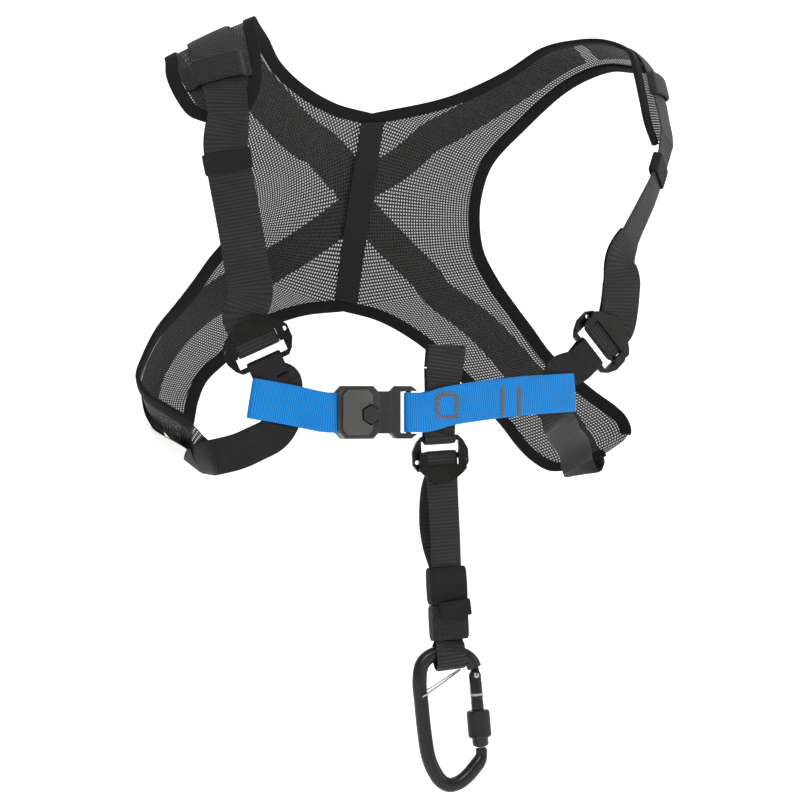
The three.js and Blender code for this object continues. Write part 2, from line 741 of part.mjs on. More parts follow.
// Joins a run on a panel to free knots, leaving the panel's own sections as they are
function withFree(panelSections, knots, steps = 3) {
  const last = panelSections[panelSections.length - 1];
  const free = freeRun([{ at: last.at, up: last.up }, ...knots], steps);
  return [...panelSections, ...free.slice(1)];
}

// Shoulder straps: up the back, over the ridge and the cap, down the chest to the adjusting bar,
// and back up behind as the tail
const STRAPS = {
  right: {
    panel: rightPanel,
    buckle: rightBuckle,
    reach: 12,
    cap: [[12.2, 0.88, 0], [11, 0.63, 0], [10, 0.64, 0.5], [9, 0.66, 1], [8, 0.64, 1],
      [7, 0.57, 0.6], [6, 0.5, 0], [5, 0.48, 0], [4, 0.48, 0], [3, 0.5, 0], [2, 0.53, 0.6],
      [1, 0.54, 1.2], [0.2, 0.54, 1.5]],
    chest: [
      [-0.407, -0.285, -0.27, -27],
      [-0.4, -0.29, -0.335, -26],
      [-0.391, -0.292, -0.4, -25],
      [-0.381, -0.29, -0.47, -25],
      [-0.37, -0.285, -0.55, -25],
      [-0.361, -0.278, -0.62, -25],
    ],
  },
  left: {
    panel: leftPanel,
    buckle: leftBuckle,
    reach: 8,
    cap: [[7.2, 0.5, 0], [6, 0.5, 0], [5, 0.5, 0], [4, 0.5, 0], [3, 0.5, 0.1], [2, 0.5, 0.8],
      [1, 0.49, 1.3], [0.2, 0.48, 1.5]],
    chest: [
      [0.425, -0.262, -0.29, 52],
      [0.407, -0.272, -0.345, 48],
      [0.386, -0.275, -0.4, 44],
      [0.364, -0.272, -0.46, 40],
      [0.344, -0.276, -0.52, 20],
      [0.346, -0.275, -0.58, 2],
    ],
  },
};
const TAIL_END = { right: 3, left: 3 }; // chest rows that each tail reaches back up to
const TAIL_APART = WEBBING_WALL + CLOTH_GAP;

function shoulderStrap(strap, tailRows) {
  const lift = outsideLift(WEBBING_WALL);
  const over = panelRun(strap.panel, strap.cap, lift);
  const chest = freeKnots(strap.chest);
  const turn = adjustTurn(strap.buckle, strap.reach);
  const behind = chest.slice(-tailRows).reverse().map(({ at, up }) => ({
    at: at.clone().addScaledVector(up, -TAIL_APART),
    up: up.clone().negate(),
  }));
  return withFree(over, [...chest, ...turn, ...behind], 2);
}

const strapRuns = {};
for (const side of ["right", "left"]) {
  strapRuns[side] = shoulderStrap(STRAPS[side], TAIL_END[side]);
  addSoft(
    `shoulder_strap_${side}`,
    (more) => strapGeometry(strapRuns[side], SHOULDER_WIDTH, WEBBING_WALL, 2, more),
    "webbing",
  );
}

// Crossed bands on the outside of the mesh. Each leaves its wing's end as the strap that passes
// through the fold of the chest tape and is sewn round the fixed bar of the buckle.
const bandLift = outsideLift(WEBBING_WALL);
const bandRight = [
  ...panelRun(leftPanel, [[7.6, 0.5, 0], [8, 0.5, 0], [9, 0.54, 0], [10, 0.55, 0], [11, 0.52, 0],
    [11.8, 0.7, 0], [12.4, 0.96, 0]], bandLift),
  ...panelRun(rightPanel, [[12.9, 0.96, 0], [13.2, 0.82, 0], [13.7, 0.62, 0], [14.3, 0.45, 0],
    [15.2, 0.34, 0], [16, 0.3, 0], [17, 0.33, 0], [18, 0.36, 0], [19, 0.4, 0], [20, 0.45, 0],
    [21, 0.5, 0.3], [22, 0.52, 0.8], [23, 0.52, 1.1], [24, 0.52, 1.1]], bandLift),
];
const bandLeft = panelRun(leftPanel, [[13.1, 0.87, 0], [13.8, 0.6, 0], [14.6, 0.42, 0], [16, 0.37, 0],
  [17, 0.35, 0], [18, 0.35, 0], [19, 0.38, 0], [20, 0.42, 0], [21, 0.46, 0.3], [22, 0.5, 0.8],
  [23, 0.52, 1.1], [24, 0.52, 1.1]], bandLift);
const WING_STRAPS = {
  right: [
    [-0.42, -0.275, -1.01, -50],
    [-0.388, -0.3, -0.998, -20],
    [-0.355, -0.292, -0.98, -8],
    [-0.32, -0.288, -0.955, -5],
    [-0.302, -0.283, -0.92, -5],
    [-0.299, -0.2825, -0.87, -6],
    [-0.301, -0.2815, -0.83, -7],
  ],
  left: [
    [0.392, 0.318, -1.068, 0, 80],
    [0.368, 0.25, -1.046, -10, 20],
    [0.34, 0.15, -1.0, 0, 35],
    [0.285, -0.02, -0.965, 0, 50],
    [0.25, -0.15, -0.94, 4, 45],
    [0.226, -0.225, -0.925, 8, 20],
    [0.219, -0.2475, -0.895, 8, 0],
    [0.219, -0.248, -0.85, 8, 0],
    [0.225, -0.249, -0.81, 7, 0],
  ],
};
function wingStrap(sections, rows, buckle) {
  return withFree(sections, [...freeKnots(rows), ...fixedTurn(buckle).reverse()], 2);
}
const bandRuns = {
  right: wingStrap(bandRight, WING_STRAPS.right, rightBuckle),
  left: wingStrap(bandLeft, WING_STRAPS.left, leftBuckle),
};
for (const side of ["right", "left"]) {
  addSoft(
    `back_band_${side}`,
    (more) => strapGeometry(bandRuns[side], BAND_WIDTH, WEBBING_WALL, 2, more),
    "band",
  );
}

// Centre clasp and chest tapes
const TAPE_TURN = TAPE_PIN_RADIUS + METAL_GAP + TAPE_WALL / 2;
const clasp = localFrame(
  place({ across: -0.171, back: -0.3, down: -0.905 }),
  vec(1, 0, 0),
  facing(-3),
);
const claspGroup = groupAt(clasp);
const RIGHT_PIN_X = -CLASP_WIDTH / 2 + 5.5;
const RING_START = CLASP_WIDTH / 2 + METAL_GAP + NECK_LENGTH;
const LEFT_PIN_X = RING_START + RING_WIDTH * 0.73;

const octagon = (width, height, cut) =>
  polygon([
    [-width / 2 + cut, -height / 2],
    [width / 2 - cut, -height / 2],
    [width / 2, -height / 2 + cut],
    [width / 2, height / 2 - cut],
    [width / 2 - cut, height / 2],
    [-width / 2 + cut, height / 2],
    [-width / 2, height / 2 - cut],
    [-width / 2, -height / 2 + cut],
  ]);
const BUTTON_X = CLASP_WIDTH * 0.24;
const FACE_RISE = 1.2;

function claspHousing() {
  const front = CLASP_DEPTH / 2;
  const body = extrude(octagon(CLASP_WIDTH, CLASP_HEIGHT, CLASP_CHAMFER), CLASP_DEPTH, 1)
    .translate(0, 0, -front);
  const face = extrude(octagon(CLASP_WIDTH * 0.7, CLASP_HEIGHT * 0.86, 4), FACE_RISE + 1)
    .translate(-CLASP_WIDTH * 0.06, 0, front - 1);
  const room = 2 * (TAPE_TURN + TAPE_WALL / 2 + METAL_GAP);
  const mouth = boxAt(
    12,
    CHEST_TAPE_WIDTH + 2 * METAL_GAP,
    room,
    RIGHT_PIN_X + TAPE_TURN + 1 - 6,
    0,
    0,
  );
  const pin = new THREE.CylinderGeometry(
    TAPE_PIN_RADIUS,
    TAPE_PIN_RADIUS,
    CHEST_TAPE_WIDTH + 3,
    12,
  ).translate(RIGHT_PIN_X, 0, 0);
  const seat = new THREE.CylinderGeometry(BUTTON_RADIUS + METAL_GAP, BUTTON_RADIUS + METAL_GAP, 4, 6)
    .rotateX(Math.PI / 2)
    .translate(BUTTON_X, -1.5, front + FACE_RISE);
  return toGeometry(join(body, face).subtract(toSolid(mouth)).add(toSolid(pin)).subtract(toSolid(seat)));
}
addPiece("clasp_housing", claspHousing(), "plastic", claspGroup);

const button = new THREE.CylinderGeometry(BUTTON_RADIUS * 0.9, BUTTON_RADIUS, BUTTON_HEIGHT + 1, 6)
  .rotateX(Math.PI / 2)
  .translate(BUTTON_X, -1.5, CLASP_DEPTH / 2 + FACE_RISE - 2 + METAL_GAP + (BUTTON_HEIGHT + 1) / 2);
addPiece("clasp_button", button, "dark_plastic", claspGroup);

// Ring on a neck, with a pin at its far side that the tape turns round
function claspHook() {
  const depth = 6.5;
  const half = CLASP_HEIGHT / 2;
  const bar = RING_WIDTH * 0.4;
  const side = CHEST_TAPE_WIDTH / 2 + METAL_GAP + 0.2;
  const x = RING_START;
  const ring = extrude(
    polygon([
      [x, -half + 6],
      [x + 6, -half],
      [x + RING_WIDTH - 5, -half],
      [x + RING_WIDTH, -side - 0.6],
      [x + bar, -side],
      [x + bar, side],
      [x + RING_WIDTH, side + 0.6],
      [x + RING_WIDTH - 5, half],
      [x + 6, half],
      [x, half - 6],
    ]),
    depth,
  ).translate(0, 0, -depth / 2);
  const neck = boxAt(NECK_LENGTH + 1, CLASP_HEIGHT * 0.8, depth + 1.5, x - NECK_LENGTH / 2 + 0.5, 0, 0);
  const pin = new THREE.CylinderGeometry(TAPE_PIN_RADIUS, TAPE_PIN_RADIUS, 2 * side + 3, 12)
    .translate(LEFT_PIN_X, 0, 0);
  return toGeometry(join(ring, neck, pin));
}
addPiece("clasp_hook", claspHook(), "dark_plastic", claspGroup);

// A tape that runs round as a flat loop: along the front, round one end, back behind and round the
// other end, with its two ends meeting behind
function tapeLoop(middle, halfGap) {
  const count = middle.length;
  const side = (k) => {
    const along = middle[Math.min(k + 1, count - 1)].at.clone().sub(middle[Math.max(k - 1, 0)].at);
    return along.normalize();
  };
  const shifted = (k, angle) => {
    const { at, up } = middle[k];
    const out = up.clone().multiplyScalar(Math.cos(angle));
    out.addScaledVector(side(k), Math.sin(angle));
    return { at: at.clone().addScaledVector(out, halfGap), up: out };
  };
  const last = count - 1;
  const quarter = Math.PI / 4;
  const forward = middle.map((_, k) => shifted(k, 0));
  const turnAtEnd = [1, 2, 3].map((q) => shifted(last, q * quarter));
  const back = middle.map((_, k) => shifted(k, Math.PI)).reverse();
  const turnAtStart = [3, 2, 1].map((q) => shifted(0, -q * quarter));
  const knots = [...back.slice(1), ...turnAtStart, ...forward, ...turnAtEnd, back[0]];
  const seam = back[1].at.distanceTo(back[0].at);
  knots.push({ at: back[1].at.clone().lerp(back[0].at, CLOTH_GAP / seam), up: back[1].up });
  return knots;
}

const CHEST_TAPES = {
  right: {
    pin: [clasp.spot(RIGHT_PIN_X - 13, 0, 0), clasp.spot(RIGHT_PIN_X, 0, 0)],
    rows: [
      [-0.354, -0.276, -0.872, -6],
      [-0.32, -0.28, -0.88, -5],
      [-0.285, -0.286, -0.889, -4],
    ],
  },
  left: {
    pin: [clasp.spot(LEFT_PIN_X + 13, 0, 0), clasp.spot(LEFT_PIN_X, 0, 0)],
    rows: [
      [0.252, -0.235, -0.856, 8],
      [0.2, -0.258, -0.86, 6],
      [0.14, -0.275, -0.866, 4],
      [0.06, -0.288, -0.878, 2],
      [0.0, -0.293, -0.89, 0],
    ],
  },
};
for (const [name, tape] of Object.entries(CHEST_TAPES)) {
  const middle = [...freeKnots(tape.rows), ...tape.pin.map((at) => ({ at, up: clasp.ez.clone() }))];
  const run = freeRun(tapeLoop(middle, TAPE_TURN), 2);
  addPiece(`chest_tape_${name}`, strapGeometry(run, CHEST_TAPE_WIDTH, TAPE_WALL), "blue");
}

// Keepers: a closed band of cloth round a strap, flat, with a gap all round
function ringBand(width, height, wall, length) {
  const [w, h] = [width / 2 + CLOTH_GAP, height / 2 + CLOTH_GAP];
  const outline = octagon(2 * (w + wall), 2 * (h + wall), Math.min(wall, 1.2));
  outline.holes.push(polygon([[-w, -h], [-w, h], [w, h], [w, -h]]));
  return extrude(outline, length).translate(0, 0, -length / 2);
}

// Frame with x across a strap, y out of its face and z along it
function bandFrame(at, across, out) {
  const ex = across.clone().normalize();
  const ey = out.clone().addScaledVector(ex, -out.dot(ex)).normalize();
  const ez = ex.clone().cross(ey);
  return { origin: at, basis: new THREE.Matrix4().makeBasis(ex, ey, ez) };
}

// First section of a strap's free part that lies lower than a share of the torso
const sectionBelow = (run, down) =>
  squared(run).find((section) => !section.panel && section.at.z < down * TORSO.down);

// Elastic bands round strap and tail, on the chest
const KEEPER_DOWN = { right: -0.305, left: -0.29 };
for (const side of ["right", "left"]) {
  const { at, side: across, up } = sectionBelow(strapRuns[side], KEEPER_DOWN[side]);
  const layers = 2 * WEBBING_WALL + CLOTH_GAP;
  const middle = at.clone().addScaledVector(up, -TAIL_APART / 2);
  const group = groupAt(bandFrame(middle, across, up));
  const band = ringBand(SHOULDER_WIDTH, layers + 1, KEEPER_WALL, KEEPER_LENGTH);
  addPiece(`strap_keeper_${side}`, band, "elastic", group);
}

// Pile flaps across the caps, over the strap, standing on the mesh between the bindings
const FLAPS = {
  right: { panel: rightPanel, s: 2.5, layer: 0.8 },
  left: { panel: leftPanel, s: 2.7, layer: 0.7 },
};
function capFlap({ panel, s, layer }) {
  const reach = 0.62; // of the cap's width
  const rows = 4;
  const cols = 6;
  const width = panel.at(s, 0).distanceTo(panel.at(s, 1));
  const along = panel.at(s - 0.5, 0.5).sub(panel.at(s + 0.5, 0.5)).normalize();
  const outer = [];
  const inner = [];
  for (let i = 0; i <= rows; i++) {
    const over = [];
    const under = [];
    for (let j = 0; j <= cols; j++) {
      const share = j / cols - 0.5;
      const v = 0.5 + share * reach;
      const step = along.clone().multiplyScalar(FLAP_LENGTH * (i / rows - 0.5));
      const spot = panel.near(s, v, step) ?? { s, v };
      const up = panel.normal(spot.s, spot.v);
      const offStrap = Math.max(0, Math.abs(share) * reach * width - SHOULDER_WIDTH / 2);
      const drop = THREE.MathUtils.clamp(offStrap / 6, 0, 1);
      const high = outsideLift(WEBBING_WALL)(layer) + WEBBING_WALL / 2 + CLOTH_GAP;
      const low = MESH_WALL / 2 + CLOTH_GAP + 0.6;
      const base = lerp(high, low, drop);
      const at = panel.at(spot.s, spot.v);
      under.push(at.clone().addScaledVector(up, base));
      over.push(at.clone().addScaledVector(up, base + FLAP_WALL));
    }
    outer.push(over);
    inner.push(under);
  }
  return slab(outer, inner);
}
for (const side of ["right", "left"]) {
  addPiece(`cap_keeper_${side}`, capFlap(FLAPS[side]), "pile");
}

// Care label, sewn inside the end of the right wing
{
  const rows = 2;
  const outer = [];
  const inner = [];
  for (let i = 0; i <= rows; i++) {
    const s = lerp(21.4, 23.4, i / rows);
    const pick = (v, lift) => {
      const up = rightPanel.normal(s, v);
      return rightPanel.at(s, v).addScaledVector(up, lift);
    };
    const far = MESH_WALL / 2 + BAND_GAP + WEBBING_WALL + BINDING_GAP + BINDING_WALL + 1.4;
    outer.push([0.3, 0.45, 0.6].map((v) => pick(v, far + 0.6)));
    inner.push([0.3, 0.45, 0.6].map((v) => pick(v, far)));
  }
  addPiece("care_label", slab(outer, inner), "label");
}

// Drop: a sling of webbing round the back layer of the chest tape and the fixed bar of an adjuster
const dropBuckle = localFrame(
  place({ across: -0.012, back: -0.288, down: -1.012 }),
  vec(-0.978, 0.12, -0.0587),
  facing(-4),
);
addAdjuster(dropBuckle, DROP_WIDTH, "drop_", "");
const LOOP_WIDTH = 30; // where the sling stands up above the tape
{
  const tapeY = -0.293 * CHEST_DEPTH;
  const behind = tapeY + TAPE_TURN + TAPE_WALL / 2 + CLOTH_GAP + WEBBING_WALL / 2;
  const middle = (tapeY + behind) / 2;
  const half = (behind - tapeY) / 2;
  const x = -0.004 * CHEST_WIDTH;
  const top = -0.742 * BODY_DROP;
  const knot = (dx, y, z, uy, uz, wide = 0) => ({
    at: vec(x + dx, y, z),
    up: vec(0, uy, uz),
    width: lerp(DROP_WIDTH, LOOP_WIDTH, wide),
  });
  const turn = fixedTurn(dropBuckle, 8).map((k) => ({ ...k, width: DROP_WIDTH }));
  const knots = [
    knot(0, behind, -0.8 * BODY_DROP, 1, 0, 0.9),
    knot(2, behind, top - half, 1, 0, 1),
    knot(2.4, middle, top, 0, 1, 1),
    knot(2, tapeY, top - half, -1, 0, 1),
    knot(0, tapeY, -0.8 * BODY_DROP, -1, 0, 0.9),
    knot(-2, tapeY, -0.87 * BODY_DROP, -1, 0, 0),
    knot(-3.3, tapeY, -0.925 * BODY_DROP, -1, 0, 0),
    knot(-3.7, tapeY - 0.2, -0.946 * BODY_DROP, -1, 0, 0),
    ...turn.slice(2, -2).reverse(),
    knot(-3.7, behind, -0.945 * BODY_DROP, 1, 0, 0),
    knot(-3.3, behind, -0.925 * BODY_DROP, 1, 0, 0),
    knot(-2, behind, -0.87 * BODY_DROP, 1, 0, 0),
    knot(0, behind, -0.805 * BODY_DROP, 1, 0, 0.85),
  ];
  const run = freeRun(knots, 2);
  run.forEach((section, i) => {
    const t = i / 2;
    const k = Math.min(Math.floor(t), knots.length - 2);
    section.width = lerp(knots[k].width, knots[k + 1].width, t - k);
  });
  addSoft("drop_loop", (more) => strapGeometry(run, DROP_WIDTH, WEBBING_WALL, 1, more), "webbing");
}

// Hanging strap, from inside its sleeves up to the adjusting bar and down again behind as the tail
const SWAY = 0.058; // how far the drop leans to the wearer's left, for each mm that it falls
const dropTop = place({ across: -0.012, back: -0.29, down: -1.0 });
const dropSpot = (fall, y = 0, x = 0) =>
  vec(dropTop.x + SWAY * fall + x, dropTop.y + y, dropTop.z - fall);
const downward = vec(SWAY, 0, -1).normalize();
const dropAcross = vec(1, 0, SWAY).normalize();
const forward = vec(0, -1, 0);
{
  const knots = [
    { at: dropSpot(0.76 * DROP_LENGTH), up: forward },
    { at: dropSpot(0.6 * DROP_LENGTH), up: forward },
    { at: dropSpot(0.42 * DROP_LENGTH, -1), up: forward },
    { at: dropSpot(0.26 * DROP_LENGTH, -1.2), up: forward },
    ...adjustTurn(dropBuckle, 4),
    { at: dropSpot(0.2 * DROP_LENGTH, 10, -1), up: forward.clone().negate() },
    { at: dropSpot(0.36 * DROP_LENGTH, 11, -3), up: forward.clone().negate() },
    { at: dropSpot(0.46 * DROP_LENGTH, 7.5, -3), up: forward.clone().negate() },
    { at: dropSpot(0.56 * DROP_LENGTH, 2.6, -1), up: forward.clone().negate() },
    { at: dropSpot(0.63 * DROP_LENGTH, 2.2), up: forward.clone().negate() },
  ];
  addPiece("drop_strap", strapGeometry(freeRun(knots, 2), DROP_WIDTH, WEBBING_WALL), "webbing");
}

const dropFrame = (fall, y = 0, x = 0) => bandFrame(dropSpot(fall, y, x), dropAcross, forward);
const SLEEVE_FALL = 0.66 * DROP_LENGTH;
const PAD_FALL = SLEEVE_FALL + SLEEVE_CLOTH_LENGTH / 2 + PAD_LENGTH / 2 + CLOTH_GAP;
const LAYERS = 2 * WEBBING_WALL + 1.8;
addPiece(
  "drop_sleeve",
  ringBand(DROP_WIDTH + 1, LAYERS + 1, 2, SLEEVE_CLOTH_LENGTH),
  "elastic",
  groupAt(dropFrame(SLEEVE_FALL, 1)),
);
addPiece(
  "drop_pad",
  ringBand(DROP_WIDTH + 0.5, LAYERS + 0.6, 2, PAD_LENGTH),
  "pile",
  groupAt(dropFrame(PAD_FALL, 1)),
);
{
  const out = (LAYERS + 0.6) / 2 + CLOTH_GAP + 2 + 0.4 + 2.2;
  const slide = ringBand(DROP_WIDTH - 2, 0.8, 1.1, SLIDE_LENGTH);
  const at = dropSpot(PAD_FALL - 10, 1 - out, 2.4);
  addPiece("drop_slide", slide, "webbing", groupAt(bandFrame(at, vec(1, 0, 0.13), forward)));
}

// Carabiner, in a frame with x to the gate, y up and z out of its front; the origin is the middle of
// its top bar
const carabiner = localFrame(
  vec(dropTop.x, dropTop.y, dropTop.z).add(vec(3.5, 1.7, -0.987 * DROP_LENGTH)),
  vec(Math.cos(rad(-12)), Math.sin(rad(-12)), 0.02),
  facing(-12),
);
const SPAN = { across: CARABINER_WIDTH - 2 * ROD_RADIUS, along: CARABINER_LENGTH - 2 * ROD_RADIUS };
const barSpot = (across, along, z = 0) => vec(across * SPAN.across, along * SPAN.along, z);

// Round bar along points, with a radius at each, closed at both ends
function tube(points, radii, sides) {
  const ring = (k, start) => {
    const along = points[Math.min(k + 1, points.length - 1)]
      .clone()
      .sub(points[Math.max(k - 1, 0)])
      .normalize();
    const a = start.clone().addScaledVector(along, -start.dot(along)).normalize();
    const b = along.clone().cross(a);
    const corners = Array.from({ length: sides }, (_, j) => {
      const turn = (2 * Math.PI * j) / sides;
      return points[k]
        .clone()
        .addScaledVector(a, radii[k] * Math.cos(turn))
        .addScaledVector(b, radii[k] * Math.sin(turn));
    });
    return { a, corners };
  };
  const corners = [];
  let a = vec(0.3, 0.5, 0.8);
  for (let k = 0; k < points.length; k++) {
    const made = ring(k, a);
    a = made.a;
    corners.push(...made.corners);
  }
  const faces = [];
  for (let k = 0; k + 1 < points.length; k++) {
    for (let j = 0; j < sides; j++) {
      const [p, q] = [k * sides + j, k * sides + ((j + 1) % sides)];
      faces.push(p, q, q + sides, p, q + sides, p + sides);
    }
  }
  const foot = (points.length - 1) * sides;
  for (let j = 1; j + 1 < sides; j++) {
    faces.push(0, j + 1, j, foot, foot + j, foot + j + 1);
  }
  return closedGeometry(corners, faces);
}

// Turned piece round the y axis from a closed profile of [radius, y]
function turned(profile, sides) {
  const outline = [...profile, profile[0]].map(([r, y]) => new THREE.Vector2(r, y));
  const geometry = new THREE.LatheGeometry(outline, sides);
  geometry.deleteAttribute("normal");
  geometry.deleteAttribute("uv");
  const merged = mergeVertices(geometry, 1e-4);
  const at = merged.attributes.position;
  const points = Array.from({ length: at.count }, (_, k) => vec(at.getX(k), at.getY(k), at.getZ(k)));
  const index = Array.from(merged.index.array);
  const faces = [];
  for (let k = 0; k < index.length; k += 3) {
    const [p, q, r] = index.slice(k, k + 3);
    if (p !== q && q !== r && r !== p) faces.push(p, q, r);
  }
  return closedGeometry(points, faces);
}

const PIVOT = barSpot(0.509, -0.183);
const GATE_FOOT = barSpot(0.584, -0.723);
const GATE_LENGTH = PIVOT.distanceTo(GATE_FOOT);
const gateAxis = GATE_FOOT.clone().sub(PIVOT).normalize();
const TONGUE_WALL = 3.2;
const NOSE_RADIUS = 4.3;
const WIRE_REACH = ROD_RADIUS + WIRE_RADIUS + GATE_GAP; // of the wire's legs from the middle plane
const WIRE_FOOT = barSpot(-0.386, -0.326);
const WIRE_TIP = barSpot(0.265, -0.138);

// Middle of the bar from the nose round the basket and the spine to the hinge of the gate
const bendRow = column(["across", "along"]);
const BAR_BENDS = {
  nose_foot: [0.565, -0.822],
  basket_right: [0.483, -0.873],
  basket_low: [0.357, -0.937],
  basket: [0.208, -0.986],
  basket_left: [0.048, -1.0],
  basket_corner: [-0.082, -0.967],
  spine_foot: [-0.186, -0.896],
  spine_low: [-0.277, -0.789],
  spine: [-0.34, -0.591],
  spine_high: [-0.381, -0.367],
  spine_top: [-0.403, -0.214],
  corner: [-0.357, -0.092],
  shoulder: [-0.238, -0.033],
  top: [0.0, 0.0],
  top_right: [0.238, -0.015],
  hinge_high: [0.385, -0.046],
  hinge_turn: [0.467, -0.086],
  hinge: [0.5, -0.125],
};
const carabinerGroup = groupAt(carabiner);
{
  const bends = Object.values(BAR_BENDS).map((values) => {
    const row = bendRow(values);
    return barSpot(row.across, row.along);
  });
  const noseTop = GATE_FOOT.clone().addScaledVector(gateAxis, GATE_GAP * 1.6);
  const noseLow = noseTop.clone().addScaledVector(gateAxis, 5);
  const curve = new THREE.CatmullRomCurve3([noseTop, noseLow, ...bends], false, "centripetal");
  const count = 2 * (bends.length + 1);
  const path = Array.from({ length: count + 1 }, (_, k) => curve.getPoint(k / count));
  const radii = path.map((_, k) => lerp(NOSE_RADIUS, ROD_RADIUS, THREE.MathUtils.clamp((k - 2) / 3, 0, 1)));
  const tongue = extrude(
    polygon([
      [-3.4, 8],
      [-3.4, -1.2],
      [-1.8, -3.3],
      [1.8, -3.3],
      [3.4, -1.2],
      [3.4, 8],
    ]),
    TONGUE_WALL,
  ).translate(PIVOT.x, PIVOT.y, -TONGUE_WALL / 2);
  const bore = (radius, depth, at) =>
    toSolid(new THREE.CylinderGeometry(radius, radius, depth, 10).rotateX(Math.PI / 2).translate(at.x, at.y, at.z));
  let body = join(tube(path, radii, 8), tongue).subtract(bore(RIVET_RADIUS + 0.3, 12, PIVOT));
  for (const hand of [-1, 1]) {
    const at = WIRE_FOOT.clone().setZ(hand * (ROD_RADIUS + 0.4));
    body = body.subtract(bore(WIRE_RADIUS + 0.35, 5, at));
  }
  addPiece("carabiner_body", toGeometry(body), "anodised", carabinerGroup);

  const rivet = new THREE.CylinderGeometry(RIVET_RADIUS, RIVET_RADIUS, 2 * GATE_RADIUS + 0.6, 12)
    .rotateX(Math.PI / 2)
    .translate(PIVOT.x, PIVOT.y, 0);
  addPiece("carabiner_rivet", rivet, "steel", carabinerGroup);
}

const gateGroup = new THREE.Group();
gateGroup.position.copy(PIVOT);
gateGroup.rotation.z = Math.atan2(gateAxis.x, -gateAxis.y);
carabinerGroup.add(gateGroup);
{
  const r = GATE_RADIUS;
  const whole = turned(
    [
      [0, r],
      [r * 0.6, r * 0.8],
      [r, 0],
      [r, 1 - GATE_LENGTH],
      [r - 1, -GATE_LENGTH],
      [0, -GATE_LENGTH],
    ],
    12,
  );
  const slot = boxAt(4 * r, r + 6.5, TONGUE_WALL + 2 * GATE_GAP, 0, (r + 6.5) / 2 - 5.5, 0);
  const bore = new THREE.CylinderGeometry(RIVET_RADIUS + 0.3, RIVET_RADIUS + 0.3, 4 * r, 10)
    .rotateX(Math.PI / 2);
  const gate = toSolid(whole).subtract(toSolid(slot)).subtract(toSolid(bore));
  addPiece("carabiner_gate", toGeometry(gate), "anodised", gateGroup);

  const inner = r + 0.4;
  const start = -GATE_LENGTH * 0.49;
  const collar = start - SLEEVE_LENGTH;
  const sleeve = turned(
    [
      [inner, start],
      [SLEEVE_RADIUS - 0.8, start],
      [SLEEVE_RADIUS, start - 1.4],
      [SLEEVE_RADIUS, collar + 1.2],
      [SLEEVE_RADIUS - 0.8, collar],
      [inner + 1, collar],
      [inner + 1, collar - 6],
      [inner, collar - 6],
    ],
    14,
  );
  addPiece("carabiner_sleeve", sleeve, "anodised", gateGroup);
}

// Wire keeper: a bent wire whose ends turn into the spine on both faces
{
  const leg = (hand, share) => {
    const at = WIRE_FOOT.clone().lerp(WIRE_TIP, share);
    at.z = hand * lerp(WIRE_REACH, 1.3, share ** 1.5);
    return at;
  };
  const foot = (hand, depth) => WIRE_FOOT.clone().setZ(hand * (WIRE_REACH - depth));
  const points = [
    foot(1, 2.6),
    foot(1, 0.5),
    leg(1, 0.03),
    leg(1, 0.4),
    leg(1, 0.97),
    WIRE_TIP,
    leg(-1, 0.97),
    leg(-1, 0.4),
    leg(-1, 0.03),
    foot(-1, 0.5),
    foot(-1, 2.6),
  ];
  addPiece("carabiner_wire", tube(points, points.map(() => WIRE_RADIUS), 6), "steel", carabinerGroup);
}

// End loop of the drop, round the top bar of the carabiner, with both branches going up inside the pad
{
  const bar = carabiner.spot(4, -0.3, 0);
  const lean = vec(0.12, 0, -1).normalize();
  const way = (fall) => {
    const turned = THREE.MathUtils.clamp((fall + 10) / 7, 0, 1);
    return forward.clone().lerp(carabiner.ez, turned).normalize();
  };
  const knot = (out, fall) => {
    const at = bar.clone().addScaledVector(fall > 0 ? lean : downward, fall);
    return at.addScaledVector(way(fall), out);
  };
  const HALF = [
    [1.3, -30],
    [1.3, -16],
    [1.5, -9.7],
    [4.8, -6.1],
    [7.8, -0.5],
    [7.9, 4],
    [6.1, 9.2],
  ];
  const up = (out, fall) => {
    const round = THREE.MathUtils.clamp((fall - 3) / 8, 0, 1) * 0.5 * Math.PI;
    const level = way(fall).multiplyScalar(Math.sign(out) * Math.cos(round));
    return level.addScaledVector(lean, Math.sin(round));
  };
  const front = HALF.map(([out, fall]) => ({ at: knot(out, fall), up: up(out, fall) }));
  const behind = HALF.map(([out, fall]) => ({ at: knot(-out, fall), up: up(-out, fall) })).reverse();
  const foot = { at: knot(0, 12.4), up: lean };
  const run = freeRun([...front, foot, ...behind], 2);
  addPiece("drop_end_loop", strapGeometry(run, DROP_WIDTH - 2, WEBBING_WALL), "webbing");
}

// Room for soft pieces: the first piece named gives way to those after it
const ROOM = 0.35;
const GIVES_WAY = [
  ["back_mesh_right", "arm_binding_right", "neck_binding", "hem_binding", "shoulder_strap_right",
    "back_band_right"],
  ["back_mesh_left", "arm_binding_left", "neck_binding", "hem_binding", "shoulder_strap_left",
    "back_band_left"],
  ["arm_binding_right", "shoulder_strap_right", "back_band_right"],
  ["neck_binding", "shoulder_strap_left", "back_band_right"],
  ["hem_binding", "back_band_left"],
  ["cap_keeper_right", "shoulder_strap_right"],
  ["cap_keeper_left", "shoulder_strap_left"],
  ["chest_tape_right", "back_band_right"],
  ["chest_tape_left", "back_band_left"],
  ["drop_frame", "drop_loop"],
];
harness.updateMatrixWorld(true);
for (const [name, ...others] of GIVES_WAY) {
  const piece = harness.getObjectByName(name);
  const toPiece = piece.matrixWorld.clone().invert();
  let solid = toSolid(piece.geometry);
  for (const other of others) {
    for (const more of [ROOM, 0]) {
      solid = solid.subtract(toSolid(softPieces[other](more).applyMatrix4(toPiece)));
    }
  }
  const bodies = solid.decompose().sort((a, b) => b.volume() - a.volume());
  piece.geometry = toGeometry(bodies[0].simplify(0.005));
}

export default harness;
